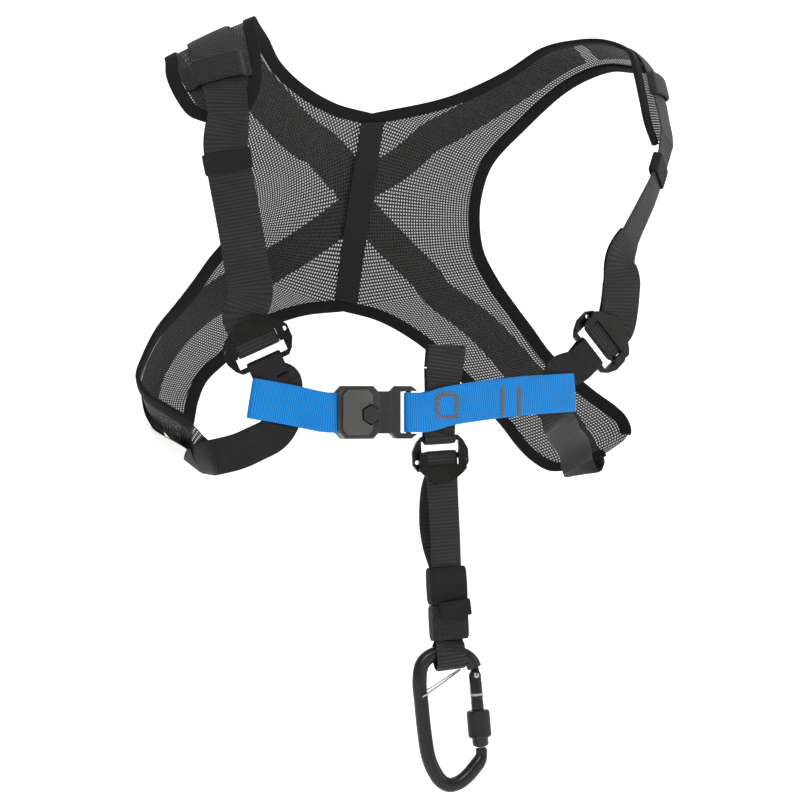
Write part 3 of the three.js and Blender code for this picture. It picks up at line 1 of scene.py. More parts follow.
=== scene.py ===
"""Climbing chest harness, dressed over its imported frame. Lengths are in millimetres until meshing."""
import json
from math import cos, pi, radians, sin

import bmesh
import bpy
import numpy as np
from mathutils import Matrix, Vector

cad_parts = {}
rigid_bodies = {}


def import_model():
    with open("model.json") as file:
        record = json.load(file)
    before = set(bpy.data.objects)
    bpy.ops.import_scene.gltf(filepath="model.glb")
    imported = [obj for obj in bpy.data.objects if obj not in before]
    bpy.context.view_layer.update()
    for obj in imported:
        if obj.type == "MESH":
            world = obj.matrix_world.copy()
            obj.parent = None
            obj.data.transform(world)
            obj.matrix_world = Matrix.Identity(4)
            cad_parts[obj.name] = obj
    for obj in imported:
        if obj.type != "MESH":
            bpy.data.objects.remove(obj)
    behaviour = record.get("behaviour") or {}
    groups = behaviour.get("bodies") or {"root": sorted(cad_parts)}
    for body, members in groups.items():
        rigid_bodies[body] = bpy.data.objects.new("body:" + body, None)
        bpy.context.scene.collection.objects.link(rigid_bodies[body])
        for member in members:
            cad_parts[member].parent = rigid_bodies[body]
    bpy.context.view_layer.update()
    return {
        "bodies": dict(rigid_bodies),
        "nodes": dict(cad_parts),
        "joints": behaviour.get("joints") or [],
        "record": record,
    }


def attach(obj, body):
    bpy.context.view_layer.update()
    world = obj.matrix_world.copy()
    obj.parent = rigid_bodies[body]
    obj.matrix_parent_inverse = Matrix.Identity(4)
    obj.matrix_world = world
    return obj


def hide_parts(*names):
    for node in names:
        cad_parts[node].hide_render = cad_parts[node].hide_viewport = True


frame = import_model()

MM = 0.001

# Worn form, as in the frame
CHEST_WIDTH = 430
CHEST_DEPTH = 170
BODY_DROP = 300
DROP_LENGTH = 150
TORSO = np.array([CHEST_WIDTH, CHEST_DEPTH, BODY_DROP])

# Cloth and webbing
MESH_WALL = 1.2
BINDING_WIDTH = 8
BINDING_WALL = 1
BINDING_GAP = 0.35
WEBBING_WALL = 1.6
TAPE_WALL = 1.2
CLOTH_GAP = 0.5
BAND_GAP = 1
LAYER = 1.8  # how much higher a strap lies where it crosses a binding
SHOULDER_WIDTH = 32
BAND_WIDTH = 26
SPINE_WIDTH = 20
SPINE_INSIDE = 2.35  # from the mesh to the middle of the tape inside it
CHEST_TAPE_WIDTH = 29
DROP_WIDTH = 24
KEEPER_LENGTH = 15
KEEPER_WALL = 1.3
FLAP_LENGTH = 22
FLAP_WALL = 2.2

# Metal adjusters
FRAME_WALL = 3
FIXED_BAR = 4
BAR_SPACING = 13
ADJUST_BAR_RADIUS = 2
METAL_GAP = 0.4

# Centre clasp
CLASP_WIDTH = 34
TAPE_PIN_RADIUS = 1.9
RING_WIDTH = 23
NECK_LENGTH = 7.5
CLASP_FACE_HEIGHT = 7.6

# Carabiner and what hangs above it
CARABINER_LENGTH = 109
CARABINER_WIDTH = 57
ROD_RADIUS = 5.4
GATE_RADIUS = 4.6
GATE_GAP = 0.5
SLEEVE_RADIUS = 8.6
SLEEVE_LENGTH = 20
WIRE_RADIUS = 0.6
SLEEVE_CLOTH_LENGTH = 27
PAD_LENGTH = 26
SLIDE_LENGTH = 12


def vec(x, y, z):
    """Point or direction as an array"""
    return np.array([x, y, z], float)


def unit(v):
    """Each vector along the last axis, divided by its length."""
    return v / np.maximum(np.linalg.norm(v, axis=-1, keepdims=True), 1e-9)


def mix(a, b, t):
    """a (1 - t) + b t"""
    return a + (b - a) * t


# Camera: level with the clasp, turned a little to the wearer's right, with a long lens
CAMERA_TARGET = Vector((-0.0122, 0.0057, -0.2625))
CAMERA_TURN = radians(-25)
CAMERA_DISTANCE = 2.5
PICTURE_WIDTH = 0.6  # that the picture takes in at the target

camera_data = bpy.data.cameras.new("camera")
camera_data.sensor_width = 36
camera_data.lens = 36 * CAMERA_DISTANCE / PICTURE_WIDTH
camera = bpy.data.objects.new("camera", camera_data)
bpy.context.collection.objects.link(camera)
ahead = Vector((-sin(CAMERA_TURN), cos(CAMERA_TURN), 0))
camera.location = CAMERA_TARGET - CAMERA_DISTANCE * ahead
camera.rotation_euler = (pi / 2, 0, CAMERA_TURN)
camera_data.clip_end = 50
bpy.context.scene.camera = camera


# Surfaces

def smooth_curve(points, corners=()):
    """Cubic through the points, whose parameter counts them. Its tangents are the centripetal
    Catmull-Rom ones, from the square roots of the distances, and it may turn sharply at corners."""
    points = np.asarray(points, float)
    last = len(points) - 1
    ends = [0, *corners, last]

    def stretch(knots, t):
        """Cubic from b to c with tangents m and n; ghosts mirror the ends"""
        i = np.clip(np.floor(t).astype(int), 0, len(knots) - 2)
        w = (t - i)[..., None]
        ghosts = np.vstack([2 * knots[:1] - knots[1:2], knots, 2 * knots[-1:] - knots[-2:-1]])
        a, b, c, d = (ghosts[i + k] for k in range(4))
        gaps = ((a, b), (b, c), (c, d))
        ab, bc, cd = (np.sqrt(np.linalg.norm(q - p, axis=-1, keepdims=True)) for p, q in gaps)
        bc = np.where(bc < 1e-4, 1, bc)
        ab = np.where(ab < 1e-4, bc, ab)
        cd = np.where(cd < 1e-4, bc, cd)
        m = ((b - a) / ab - (c - a) / (ab + bc) + (c - b) / bc) * bc
        n = ((c - b) / bc - (d - b) / (bc + cd) + (d - c) / cd) * bc
        return b + m * w + (3 * (c - b) - 2 * m - n) * w**2 + (2 * (b - c) + m + n) * w**3

    def curve(t):
        """Each stretch between two corners, on its own knots"""
        t = np.clip(np.asarray(t, float), 0, last)
        out = np.empty(t.shape + points.shape[1:])
        for low, high in zip(ends, ends[1:]):
            here = (t >= low) & (t <= high)
            out[here] = stretch(points[low : high + 1], t[here] - low)
        return out

    return curve


def skin(rings, marks, closed=False):
    """Closed body of quads from each ring of points, rings[i, j], to the next. The first and last rings
    are filled, or joined where the run is closed, and then marks, the places on the cloth in mm, have
    one row more."""
    rows, cols = rings.shape[:2]
    i, j = (a.ravel() for a in np.meshgrid(np.arange(rows - (not closed)), np.arange(cols), indexing="ij"))
    k = (j + 1) % cols
    n = (i + 1) % rows
    quads = np.stack([i * cols + j, n * cols + j, n * cols + k, i * cols + k], 1)
    places = np.stack([marks[i, j], marks[i + 1, j], marks[i + 1, k], marks[i, k]], 1)
    points = rings.reshape(-1, 3)
    lids = [] if closed else [np.arange(cols), (rows - 1) * cols + np.arange(cols)[::-1]]
    lid_places = [] if closed else [marks[0], marks[-1][::-1]]
    a, b, c, d = (points[quads[:, q]] for q in range(4))
    volume = np.sum(a * np.cross(b, c)) + np.sum(a * np.cross(c, d))
    for lid in lids:
        p = points[lid]
        volume += np.sum(p.mean(0) * np.cross(p, np.roll(p, -1, 0)))
    if volume < 0:
        quads, places = quads[:, ::-1], places[:, ::-1]
        lids, lid_places = [lid[::-1] for lid in lids], [p[::-1] for p in lid_places]
    faces = quads.tolist() + [lid.tolist() for lid in lids]
    return points, faces, np.concatenate([places.reshape(-1, 2), *lid_places])


def add_piece(name, shells, finish, replaces=(), body="harness", crease=50):
    """One object at the origin from shells of points in mm, faces and places on the cloth"""
    points, faces, marks, start = [], [], [], 0
    for shell_points, shell_faces, shell_marks in shells:
        points.append(shell_points)
        faces += [[p + start for p in face] for face in shell_faces] if start else shell_faces
        marks.append(shell_marks)
        start += len(shell_points)
    mesh = bpy.data.meshes.new(name)
    mesh.from_pydata((np.concatenate(points) * MM).tolist(), [], faces)
    layer = mesh.uv_layers.new(name="cloth")
    layer.data.foreach_set("uv", (np.concatenate(marks) * MM).ravel())
    mesh.shade_smooth()
    mesh.set_sharp_from_angle(angle=radians(crease))
    mesh.materials.append(finish)
    piece = bpy.data.objects.new(name, mesh)
    bpy.context.collection.objects.link(piece)
    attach(piece, body)
    if replaces:
        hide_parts(*replaces)
    return piece


def run_length(points):
    """Length along a row of points up to each of them"""
    return np.concatenate([[0], np.cumsum(np.linalg.norm(np.diff(points, axis=0), axis=1))])


def tube(path, radii, across, sides=32):
    """Round bar P = path + r (cos a X + sin a Y), X square to the path and nearest to a fixed way across"""
    along = unit(np.gradient(path, axis=0))
    x = unit(across - along * np.sum(along * across, -1, keepdims=True))
    y = np.cross(along, x)
    turn = np.linspace(0, 2 * pi, sides, endpoint=False)
    around = np.cos(turn)[None, :, None] * x[:, None] + np.sin(turn)[None, :, None] * y[:, None]
    radii = np.broadcast_to(radii, len(path))
    rings = path[:, None] + radii[:, None, None] * around
    marks = np.stack(np.broadcast_arrays(run_length(path)[:, None], turn[None] * radii.mean()), -1)
    return skin(rings, marks)


def round_path(corners, per_span=10):
    """Points closely along the smooth curve through the corners"""
    curve = smooth_curve(corners)
    return curve(np.linspace(0, len(corners) - 1, per_span * (len(corners) - 1) + 1))


def turned(profile, frame, sides=64, relief=None):
    """Turned body round a frame's y axis: P = r cos a, y, r sin a, for a closed profile of [r, y];
    relief adds to r by height and angle."""
    profile = np.array(profile, float)
    turn = np.linspace(0, 2 * pi, sides, endpoint=False)
    r = np.repeat(profile[None, :, 0], sides, 0)
    y = np.repeat(profile[None, :, 1], sides, 0)
    if relief:
        r = r + relief(y, turn[:, None], r)
    rings = place_in(frame, r * np.cos(turn)[:, None], y, r * np.sin(turn)[:, None])
    round_marks = np.linspace(0, 2 * pi, sides + 1)[:, None] * 8
    marks = np.stack(np.broadcast_arrays(round_marks, profile[None, :, 1]), -1)
    return skin(rings, marks, closed=True)


def local_frame(origin, bar, out):
    """Frame with x along the bars and z out of the front: y = z cross x"""
    ex = unit(bar)
    ez = unit(out - ex * np.dot(out, ex))
    return {"o": origin, "x": ex, "y": np.cross(ez, ex), "z": ez}


def band_frame(origin, across, out):
    """Frame with x across a strap, y out of its face and z along it"""
    ex = unit(across)
    ey = unit(out - ex * np.dot(out, ex))
    return {"o": origin, "x": ex, "y": ey, "z": np.cross(ex, ey)}


def place_in(frame, x, y, z):
    """Point o + x X + y Y + z Z of a frame"""
    parts = [np.asarray(c, float)[..., None] * frame[name] for c, name in ((x, "x"), (y, "y"), (z, "z"))]
    return frame["o"] + parts[0] + parts[1] + parts[2]


def facing(turn):
    """Direction that faces forward, turned by some degrees to the wearer's left"""
    return vec(sin(radians(turn)), -cos(radians(turn)), 0)


# Mesh panel: each half between its edge at the arm and its edge at the neck, spine and hem, from the
# cap's front end over the shoulder to the wing's end. Shares of the torso, and the belly in mm.
RIGHT_SECTIONS = {
    "cap_end": [-0.43, -0.235, -0.21, -0.375, -0.235, -0.2, 2],
    "cap_low": [-0.46, -0.225, -0.195, -0.35, -0.225, -0.165, 3],
    "cap_mid": [-0.475, -0.175, -0.155, -0.33, -0.19, -0.105, 4],
    "cap_high": [-0.48, -0.095, -0.1, -0.32, -0.105, -0.015, 4],
    "ridge_front": [-0.472, -0.03, -0.06, -0.315, -0.035, 0.04, 2],
    "ridge": [-0.465, 0.025, -0.05, -0.305, 0.025, 0.06, 1],
    "ridge_back": [-0.445, 0.095, -0.055, -0.285, 0.105, 0.05, 2],
    "blade_top": [-0.39, 0.28, -0.095, -0.24, 0.27, 0.025, 3],
    "blade": [-0.325, 0.46, -0.165, -0.19, 0.425, -0.025, 3],
    "blade_low": [-0.27, 0.59, -0.245, -0.125, 0.53, -0.075, 3],
    "waist_high": [-0.245, 0.645, -0.315, -0.055, 0.58, -0.115, 3],
    "spine_top": [-0.23, 0.67, -0.365, 0.022, 0.61, -0.135, 3],
    "waist": [-0.23, 0.67, -0.4, 0.022, 0.69, -0.26, 3],
    "waist_low": [-0.245, 0.66, -0.44, 0.01, 0.71, -0.39, 3],
    "spine_low": [-0.265, 0.625, -0.475, -0.005, 0.71, -0.525, 3],
    "spine_foot": [-0.3, 0.57, -0.52, -0.02, 0.69, -0.64, 3],
    "flank_top": [-0.345, 0.495, -0.585, -0.11, 0.665, -0.655, 3],
    "flank_high": [-0.39, 0.4, -0.64, -0.2, 0.625, -0.7, 5],
    "flank": [-0.44, 0.295, -0.7, -0.27, 0.57, -0.775, 8],
    "flank_low": [-0.48, 0.19, -0.765, -0.32, 0.495, -0.825, 10],
    "wing_turn": [-0.51, 0.07, -0.82, -0.35, 0.41, -0.875, 12],
    "wing_fore": [-0.51, -0.045, -0.86, -0.37, 0.33, -0.925, 14],
    "wing_low": [-0.49, -0.155, -0.89, -0.39, 0.235, -0.975, 13],
    "wing_end": [-0.455, -0.225, -0.93, -0.4, 0.13, -1.01, 9],
    "wing_tip": [-0.425, -0.24, -0.98, -0.41, 0.01, -1.03, 4],
}
LEFT_SECTIONS = {
    "cap_end": [0.46, -0.13, -0.215, 0.405, -0.295, -0.23, 2],
    "cap_low": [0.485, -0.035, -0.165, 0.395, -0.27, -0.175, 3],
    "cap_mid": [0.5, 0.045, -0.115, 0.395, -0.225, -0.115, 4],
    "cap_high": [0.51, 0.12, -0.07, 0.4, -0.155, -0.05, 4],
    "ridge_front": [0.515, 0.19, -0.035, 0.41, -0.06, 0.01, 2],
    "ridge": [0.52, 0.27, -0.01, 0.415, 0.035, 0.035, 1],
    "ridge_back": [0.505, 0.355, -0.005, 0.395, 0.13, 0.055, 2],
    "blade_top": [0.48, 0.425, 0.0, 0.37, 0.27, 0.06, 3],
    "blade": [0.45, 0.495, -0.015, 0.33, 0.41, 0.045, 3],
    "blade_low": [0.405, 0.555, -0.055, 0.275, 0.52, -0.015, 3],
    "waist_high": [0.335, 0.635, -0.155, 0.17, 0.575, -0.085, 3],
    "spine_top": [0.275, 0.67, -0.25, 0.022, 0.61, -0.135, 3],
    "waist": [0.255, 0.68, -0.33, 0.022, 0.69, -0.26, 3],
    "waist_low": [0.25, 0.68, -0.395, 0.01, 0.71, -0.39, 3],
    "spine_low": [0.255, 0.665, -0.48, -0.005, 0.71, -0.525, 3],
    "spine_foot": [0.28, 0.635, -0.56, -0.02, 0.69, -0.64, 3],
    "flank_top": [0.305, 0.6, -0.62, 0.045, 0.66, -0.665, 3],
    "flank_high": [0.335, 0.56, -0.685, 0.115, 0.63, -0.72, 5],
    "flank": [0.365, 0.51, -0.755, 0.185, 0.59, -0.805, 7],
    "flank_low": [0.405, 0.47, -0.81, 0.23, 0.54, -0.88, 8],
    "wing_turn": [0.445, 0.43, -0.86, 0.265, 0.5, -0.94, 8],
    "wing_fore": [0.475, 0.39, -0.895, 0.29, 0.46, -0.995, 7],
    "wing_low": [0.49, 0.355, -0.925, 0.31, 0.42, -1.03, 6],
    "wing_end": [0.49, 0.32, -0.965, 0.335, 0.375, -1.055, 4],
    "wing_tip": [0.44, 0.305, -1.015, 0.365, 0.34, -1.055, 2],
}


SECTIONS_WIDTH = 430  # chest width at which the sections' bellies are given, in mm


class Panel:
    """P(s, v) = arm(s) (1 - v) + inner(s) v + outward(s) belly(s) 4 v (1 - v)"""

    def __init__(self, sections, hand):
        names = list(sections)
        rows = np.array([sections[n] for n in names])
        self.hand = hand
        self.last = len(names) - 1
        self.station = names.index
        spine = (names.index("spine_top"), names.index("spine_foot"))
        self.arm = smooth_curve(rows[:, 0:3] * TORSO)
        inner = rows[:, 3:6] * TORSO
        inner[spine[0] : spine[1] + 1, 0] += hand * CLOTH_GAP / 2
        self.inner = smooth_curve(inner, spine)
        self.belly = rows[:, 6] * CHEST_WIDTH / SECTIONS_WIDTH

    def outward(self, s):
        """Square to the chord from arm edge to inner edge and to the run of their middle"""
        high, low = np.minimum(s + 0.6, self.last), np.maximum(s - 0.6, 0)
        along = self.arm(high) + self.inner(high) - (self.arm(low) + self.inner(low))
        return unit(np.cross(self.inner(s) - self.arm(s), along)) * -self.hand

    def at(self, s, v):
        """P(s, v); past v = 0 or 1 it goes on along the chord"""
        s, v = np.broadcast_arrays(np.clip(np.asarray(s, float), 0, self.last), np.asarray(v, float))
        rise = np.interp(s, np.arange(self.last + 1), self.belly) * 4 * v * (1 - v)
        return mix(self.arm(s), self.inner(s), v[..., None]) + self.outward(s) * rise[..., None]

    def normal(self, s, v):
        """Cross product of the differences of P across v and along s"""
        e = 0.08
        along = self.at(np.minimum(s + e, self.last), v) - self.at(np.maximum(s - e, 0), v)
        return unit(np.cross(self.at(s, v + e) - self.at(s, v - e), along)) * -self.hand

    def near(self, s, v, step):
        """Place reached from (s, v) by a small step, by least squares on the two tangents, and whether
        there is one"""
        e = 0.05
        s, v = np.broadcast_arrays(np.asarray(s, float), np.asarray(v, float))
        along = (self.at(np.minimum(s + e, self.last), v) - self.at(np.maximum(s - e, 0), v)) / (2 * e)
        across = (self.at(s, v + e) - self.at(s, v - e)) / (2 * e)
        aa, ab, bb = (np.sum(p * q, -1) for p, q in ((along, along), (along, across), (across, across)))
        sa, sb = np.sum(step * along, -1), np.sum(step * across, -1)
        det = aa * bb - ab * ab
        clear = det >= 0.15 * aa * bb
        det = np.where(clear, det, 1)
        to_s = s + (sa * bb - sb * ab) / det
        to_v = v + (sb * aa - sa * ab) / det
        clear = clear & (to_s >= 0) & (to_s <= self.last)
        return np.where(clear, to_s, s), np.where(clear, to_v, v), clear

    def reach(self, s, v, step):
        """The same for a longer step: three times over, each from the place found before"""
        target = self.at(s, v) + step
        s, v, clear = self.near(s, v, step)
        for _ in range(2):
            s, v, again = self.near(s, v, target - self.at(s, v))
            clear = clear & again
        return s, v, clear


PANELS = [Panel(RIGHT_SECTIONS, -1), Panel(LEFT_SECTIONS, 1)]
RIGHT, LEFT, FREE = 0, 1, -1


# Runs of straps: middle, outward direction, the panel that carries each section, and the width

def joined(*runs):
    """One run after another, section by section"""
    return {key: np.concatenate([run[key] for run in runs]) for key in runs[0]}


def panel_run(side, rows, wall, step=0.08):
    """Run over a panel through rows of station, share across and layers over the mesh"""
    rows = np.array(rows, float)
    curve = smooth_curve(rows)
    count = int(abs(rows[-1, 0] - rows[0, 0]) / step)
    s, v, layer = curve(np.linspace(0, len(rows) - 1, count + 1)).T
    lift = MESH_WALL / 2 + BAND_GAP + wall / 2 + layer * LAYER
    up = PANELS[side].normal(s, v)
    at = PANELS[side].at(s, v) + up * lift[:, None]
    same = np.ones(len(s))
    return {"at": at, "up": up, "panel": same * side, "s": s, "v": v, "lift": lift, "width": same * 0}


def free_run(knots, steps=16):
    """Run through knots of middle, outward direction and width; the direction turns evenly between them"""
    at, up, width = (np.array([np.atleast_1d(k[n]) for k in knots], float) for n in range(3))
    t = np.linspace(0, len(knots) - 1, (len(knots) - 1) * steps + 1)
    i = np.minimum(t.astype(int), len(knots) - 2)
    w = (t - i)[:, None]
    none = np.zeros(len(t))
    return {
        "at": smooth_curve(at)(t),
        "up": unit(mix(up[i], up[i + 1], w)),
        "panel": none + FREE,
        "s": none,
        "v": none,
        "lift": none,
        "width": mix(width[i], width[i + 1], w)[:, 0],
    }


def with_free(run, knots):
    """A run on a panel goes on through free knots"""
    last = (run["at"][-1], run["up"][-1], 0)
    free = free_run([last, *knots])
    return joined(run, {key: value[1:] for key, value in free.items()})


def even(run, spacing):
    """The same run with a section at every so many mm of its length"""
    length = run_length(run["at"])
    wanted = np.arange(0, length[-1], spacing)
    k = np.clip(np.searchsorted(length, wanted, side="right") - 1, 0, len(length) - 2)
    w = ((wanted - length[k]) / np.maximum(length[k + 1] - length[k], 1e-9))[:, None]
    out = {}
    for key, value in run.items():
        if key == "panel":
            out[key] = np.where(value[k] == value[k + 1], value[k], FREE)
        elif value.ndim == 2:
            out[key] = mix(value[k], value[k + 1], w)
        else:
            out[key] = mix(value[k], value[k + 1], w[:, 0])
    out["up"] = unit(out["up"])
    return out


def soften(values, times):
    """Running mean over three neighbours, the ends kept"""
    for _ in range(times):
        values = np.concatenate([values[:1], (values[:-2] + values[1:-1] + values[2:]) / 3, values[-1:]])
    return values


def strap(run, plain_width, wall, pitch=0.0, rib=0.12, spacing=0.65, columns=12):
    """Webbing P = middle + side c w + up (h(c) + rib cos(2 pi u / pitch)), u along it and c across it.
    h falls at the edges as (1 - |2c|^12)^(1/2), and on a panel the middle follows the panel across."""
    run = even(run, spacing)
    along = unit(np.gradient(run["at"], axis=0))
    side = unit(np.cross(run["up"], along))
    free = run["panel"] == FREE
    up = np.where(free[:, None], unit(np.cross(along, side)), run["up"])
    width = np.where(run["width"] > 0, run["width"], plain_width)
    c = 0.5 * np.sin(np.linspace(-pi / 2, pi / 2, columns + 1))
    step = side[:, None] * (width[:, None] * c)[..., None]
    middle = run["at"][:, None] + step
    up = np.repeat(up[:, None], columns + 1, 1)
    carried = np.zeros(len(along))
    on, normals = middle.copy(), up.copy()
    for number, panel in enumerate(PANELS):
        here = run["panel"] == number
        if not here.any():
            continue
        s, v, clear = panel.reach(run["s"][here, None], run["v"][here, None], step[here])
        normals[here] = panel.normal(s, v)
        on[here] = panel.at(s, v) + normals[here] * run["lift"][here, None, None]
        carried[here] = (clear & (v > -0.02) & (v < 1.02)).all(1)
    reach = np.ones(41)
    lost = np.convolve(1 - carried, reach, "same") > 0.5
    share = soften(1.0 - lost, 60)[:, None, None]
    middle = mix(middle, on, share)
    middle = mix(middle, soften(middle, 90), share)
    up = unit(mix(up, normals, share))
    u = run_length(run["at"])
    high = wall / 2 * np.maximum(np.sqrt(1 - np.abs(2 * c) ** 12), 0.3)[None]
    if pitch:
        high = high + rib * np.cos(2 * pi * u / pitch)[:, None] * (1 - np.abs(2 * c) ** 6)[None]
    high = high[..., None]
    rings = np.concatenate([middle + up * high, (middle - up * high)[:, ::-1]], 1)
    across = np.concatenate([c, c[::-1]])[None] * width[:, None]
    marks = np.stack([np.repeat(u[:, None], 2 * columns + 2, 1), across], -1)
    return skin(rings, marks)


def ring_band(frame, width, height, wall, length, around=96, bulge=0.0, ribs=0):
    """Closed band round a strap: P(a, q) = (A cos(a)^(1/4), B sin(a)^(1/4)), A and B growing with the
    wall, and q running out over the face and back inside. It swells by bulge in its middle."""
    a = np.linspace(0, 2 * pi, around, endpoint=False)
    z = np.linspace(-0.5, 0.5, 13)
    edge = 1 - 0.35 * np.abs(2 * z) ** 14
    swell = bulge * (1 - (2 * z) ** 2)
    depth = np.concatenate([wall * edge + swell, np.full(3, 0.12 * wall)])
    along = np.concatenate([z, [0.46, 0, -0.46]]) * length
    power = 0.25
    cx, cy = np.cos(a), np.sin(a)
    shape_x = (np.sign(cx) * np.abs(cx) ** power)[:, None]
    shape_y = (np.sign(cy) * np.abs(cy) ** power)[:, None]
    half = (width / 2 + CLOTH_GAP * 0.5, height / 2 + CLOTH_GAP * 0.5)
    x = shape_x * (half[0] + depth[None])
    y = shape_y * (half[1] + depth[None])
    rings = place_in(frame, x, y, np.broadcast_to(along, x.shape))
    perimeter = run_length(np.concatenate([rings[:, 6], rings[:1, 6]]))
    marks = np.stack(np.broadcast_arrays(perimeter[:, None], along[None]), -1)
    return skin(rings, marks, closed=True)


def stitches(path, outs, length=2.4, gap=0.7, radius=0.42):
    """Row of stitches along a path: each is a short tube that dips into the cloth at its ends"""
    total = run_length(path)
    count = max(int(total[-1] / (length + gap)), 1)
    shells = []
    for k in range(count):
        t = total[-1] * (k + 0.5) / count + np.linspace(-0.5, 0.5, 7) * length
        spot = np.stack([np.interp(t, total, path[:, n]) for n in range(3)], -1)
        out = unit(np.stack([np.interp(t, total, outs[:, n]) for n in range(3)], -1))
        dip = -1.1 * radius * np.linspace(-1, 1, 7) ** 2
        spot = spot + out * dip[:, None]
        shells.append(tube(spot, radius * vec_thin(7), out[3], 8))
    return shells


def vec_thin(count):
    """Radius shares of a stitch, thinner at its ends"""
    return 0.45 + 0.55 * (1 - np.linspace(-1, 1, count) ** 4)


# Finishes

def linear(code):
    """sRGB hex colour as linear values with alpha"""
    shares = np.array([int(code[k : k + 2], 16) for k in (1, 3, 5)]) / 255
    values = np.where(shares <= 0.04045, shares / 12.92, ((shares + 0.055) / 1.055) ** 2.4)
    return (*values.tolist(), 1.0)


MATH = "ShaderNodeMath"
NOISE = "ShaderNodeTexNoise"
BUMP = "ShaderNodeBump"


def add_node(tree, kind, inputs, **settings):
    """Outputs of a new node with its settings; its inputs are values, or other nodes' outputs to link"""
    made = tree.nodes.new(kind)
    for name, value in settings.items():
        setattr(made, name, value)
    for name, value in inputs.items():
        if isinstance(value, bpy.types.NodeSocket):
            tree.links.new(value, made.inputs[name])
        else:
            made.inputs[name].default_value = value
    return made.outputs


def start_finish(name):
    """Empty material and its node tree"""
    finish = bpy.data.materials.new(name)
    finish.use_nodes = True
    finish.node_tree.nodes.clear()
    return finish, finish.node_tree


def end_finish(tree, tone, low, high, inputs):
    """Shader whose colour runs from low to high with the tone"""
    colour = add_node(tree, "ShaderNodeMix", {"Factor": tone, "A": linear(low), "B": linear(high)},
                      data_type="RGBA")
    shader = add_node(tree, "ShaderNodeBsdfPrincipled", {"Base Color": colour["Result"], **inputs})
    add_node(tree, "ShaderNodeOutputMaterial", {"Surface": shader["BSDF"]})


def cloth_places(tree):
    """UV map of the cloth, and its length and breadth, in metres"""
    uv = add_node(tree, "ShaderNodeTexCoord", {})["UV"]
    split = add_node(tree, "ShaderNodeSeparateXYZ", {"Vector": uv})
    return uv, split["X"], split["Y"]


def half_wave(tree, place, pitch_mm, shift=0.0):
    """0.5 + 0.5 sin(2 pi place / pitch + shift)"""
    turn = add_node(tree, MATH, {0: place, 1: 2 * pi / (pitch_mm * MM), 2: shift}, operation="MULTIPLY_ADD")
    wave = add_node(tree, MATH, {0: turn[0]}, operation="SINE")
    return add_node(tree, MATH, {0: wave[0], 1: 0.5, 2: 0.5}, operation="MULTIPLY_ADD")[0]


def woven(name, low, high, pitch, yarn=1.3, roughness=0.7, depth=0.25, slant=0.5, sheen=0.0):
    """Ribbed webbing: weft ribs across it at the pitch, crossed by warp yarns that step them sideways,
    and darkened by loose fibres and by wear in patches. The colour runs with the ribs' height, the
    same height as the bump: painted shade in the grooves and a painted highlight on the rib tops"""
    finish, tree = start_finish(name)
    uv, u, v = cloth_places(tree)
    yarns = half_wave(tree, v, yarn)
    shift = add_node(tree, MATH, {0: yarns, 1: slant * 2 * pi}, operation="MULTIPLY")[0]
    ribs = half_wave(tree, u, pitch, shift)
    height = add_node(tree, MATH, {0: yarns, 1: 0.5, 2: 0.5}, operation="MULTIPLY_ADD")[0]
    relief = add_node(tree, MATH, {0: ribs, 1: height}, operation="MULTIPLY")[0]
    # Colour from the rib height: painted shade in the grooves, painted highlight on the rib tops
    tone = relief
    for scale, detail, least in ((900.0, 3.0, 0.3), (45.0, 2.0, 0.55)):
        spots = add_node(tree, NOISE, {"Vector": uv, "Scale": scale, "Detail": detail})
        share = add_node(tree, MATH, {0: spots["Fac"], 1: least}, operation="ADD")
        tone = add_node(tree, MATH, {0: tone, 1: share[0]}, operation="MULTIPLY")[0]
    bump = add_node(tree, BUMP, {"Height": relief, "Strength": 0.7, "Distance": depth * MM})
    end_finish(tree, tone, low, high, {
        "Roughness": roughness,
        "Normal": bump["Normal"],
        "Specular IOR Level": 0.25,
        "Sheen Weight": sheen,
        "Sheen Roughness": 0.4,
    })
    return finish


# The first colour of each woven finish below is the painted shade in its grooves, the second the painted
# highlight on its rib tops
# Polyester webbing, black-grey, ribbed and slightly shiny
WEBBING = woven("polyester_webbing", "#050606", "#3a3b3a", 2.7, roughness=0.5)
# The same webbing of the crossed bands, flatter
BAND = woven("band_webbing", "#040404", "#222322", 2.3, roughness=0.55)
# Polyamide tape of the chest, bright blue, fine ribs with a slight shine
BLUE = woven("blue_polyamide_tape", "#0066b2", "#0298ea", 1.7, yarn=0.9, roughness=0.42, depth=0.22,
             slant=0.12)
# Folded edge binding of the mesh, plain fine weave, matt
BINDING = woven("edge_binding", "#050505", "#191a1a", 1.3, yarn=1.0, roughness=0.85, depth=0.1, slant=0.2)
# Covered rubber elastic in fine twill
ELASTIC = woven("twill_elastic", "#060707", "#282928", 1.4, yarn=1.9, roughness=0.8, depth=0.2, slant=1.0,
                sheen=0.03)
# Polyester sewing thread, grey-brown, a little shiny
THREAD = woven("sewing_thread", "#5a5450", "#978d84", 0.7, yarn=0.5, roughness=0.5, depth=0.05, sheen=0.15)
# Printed polyester label, bare white
LABEL = woven("polyester_label", "#d9d9d6", "#f7f7f5", 0.6, yarn=0.6, roughness=0.8, depth=0.03, sheen=0.15)


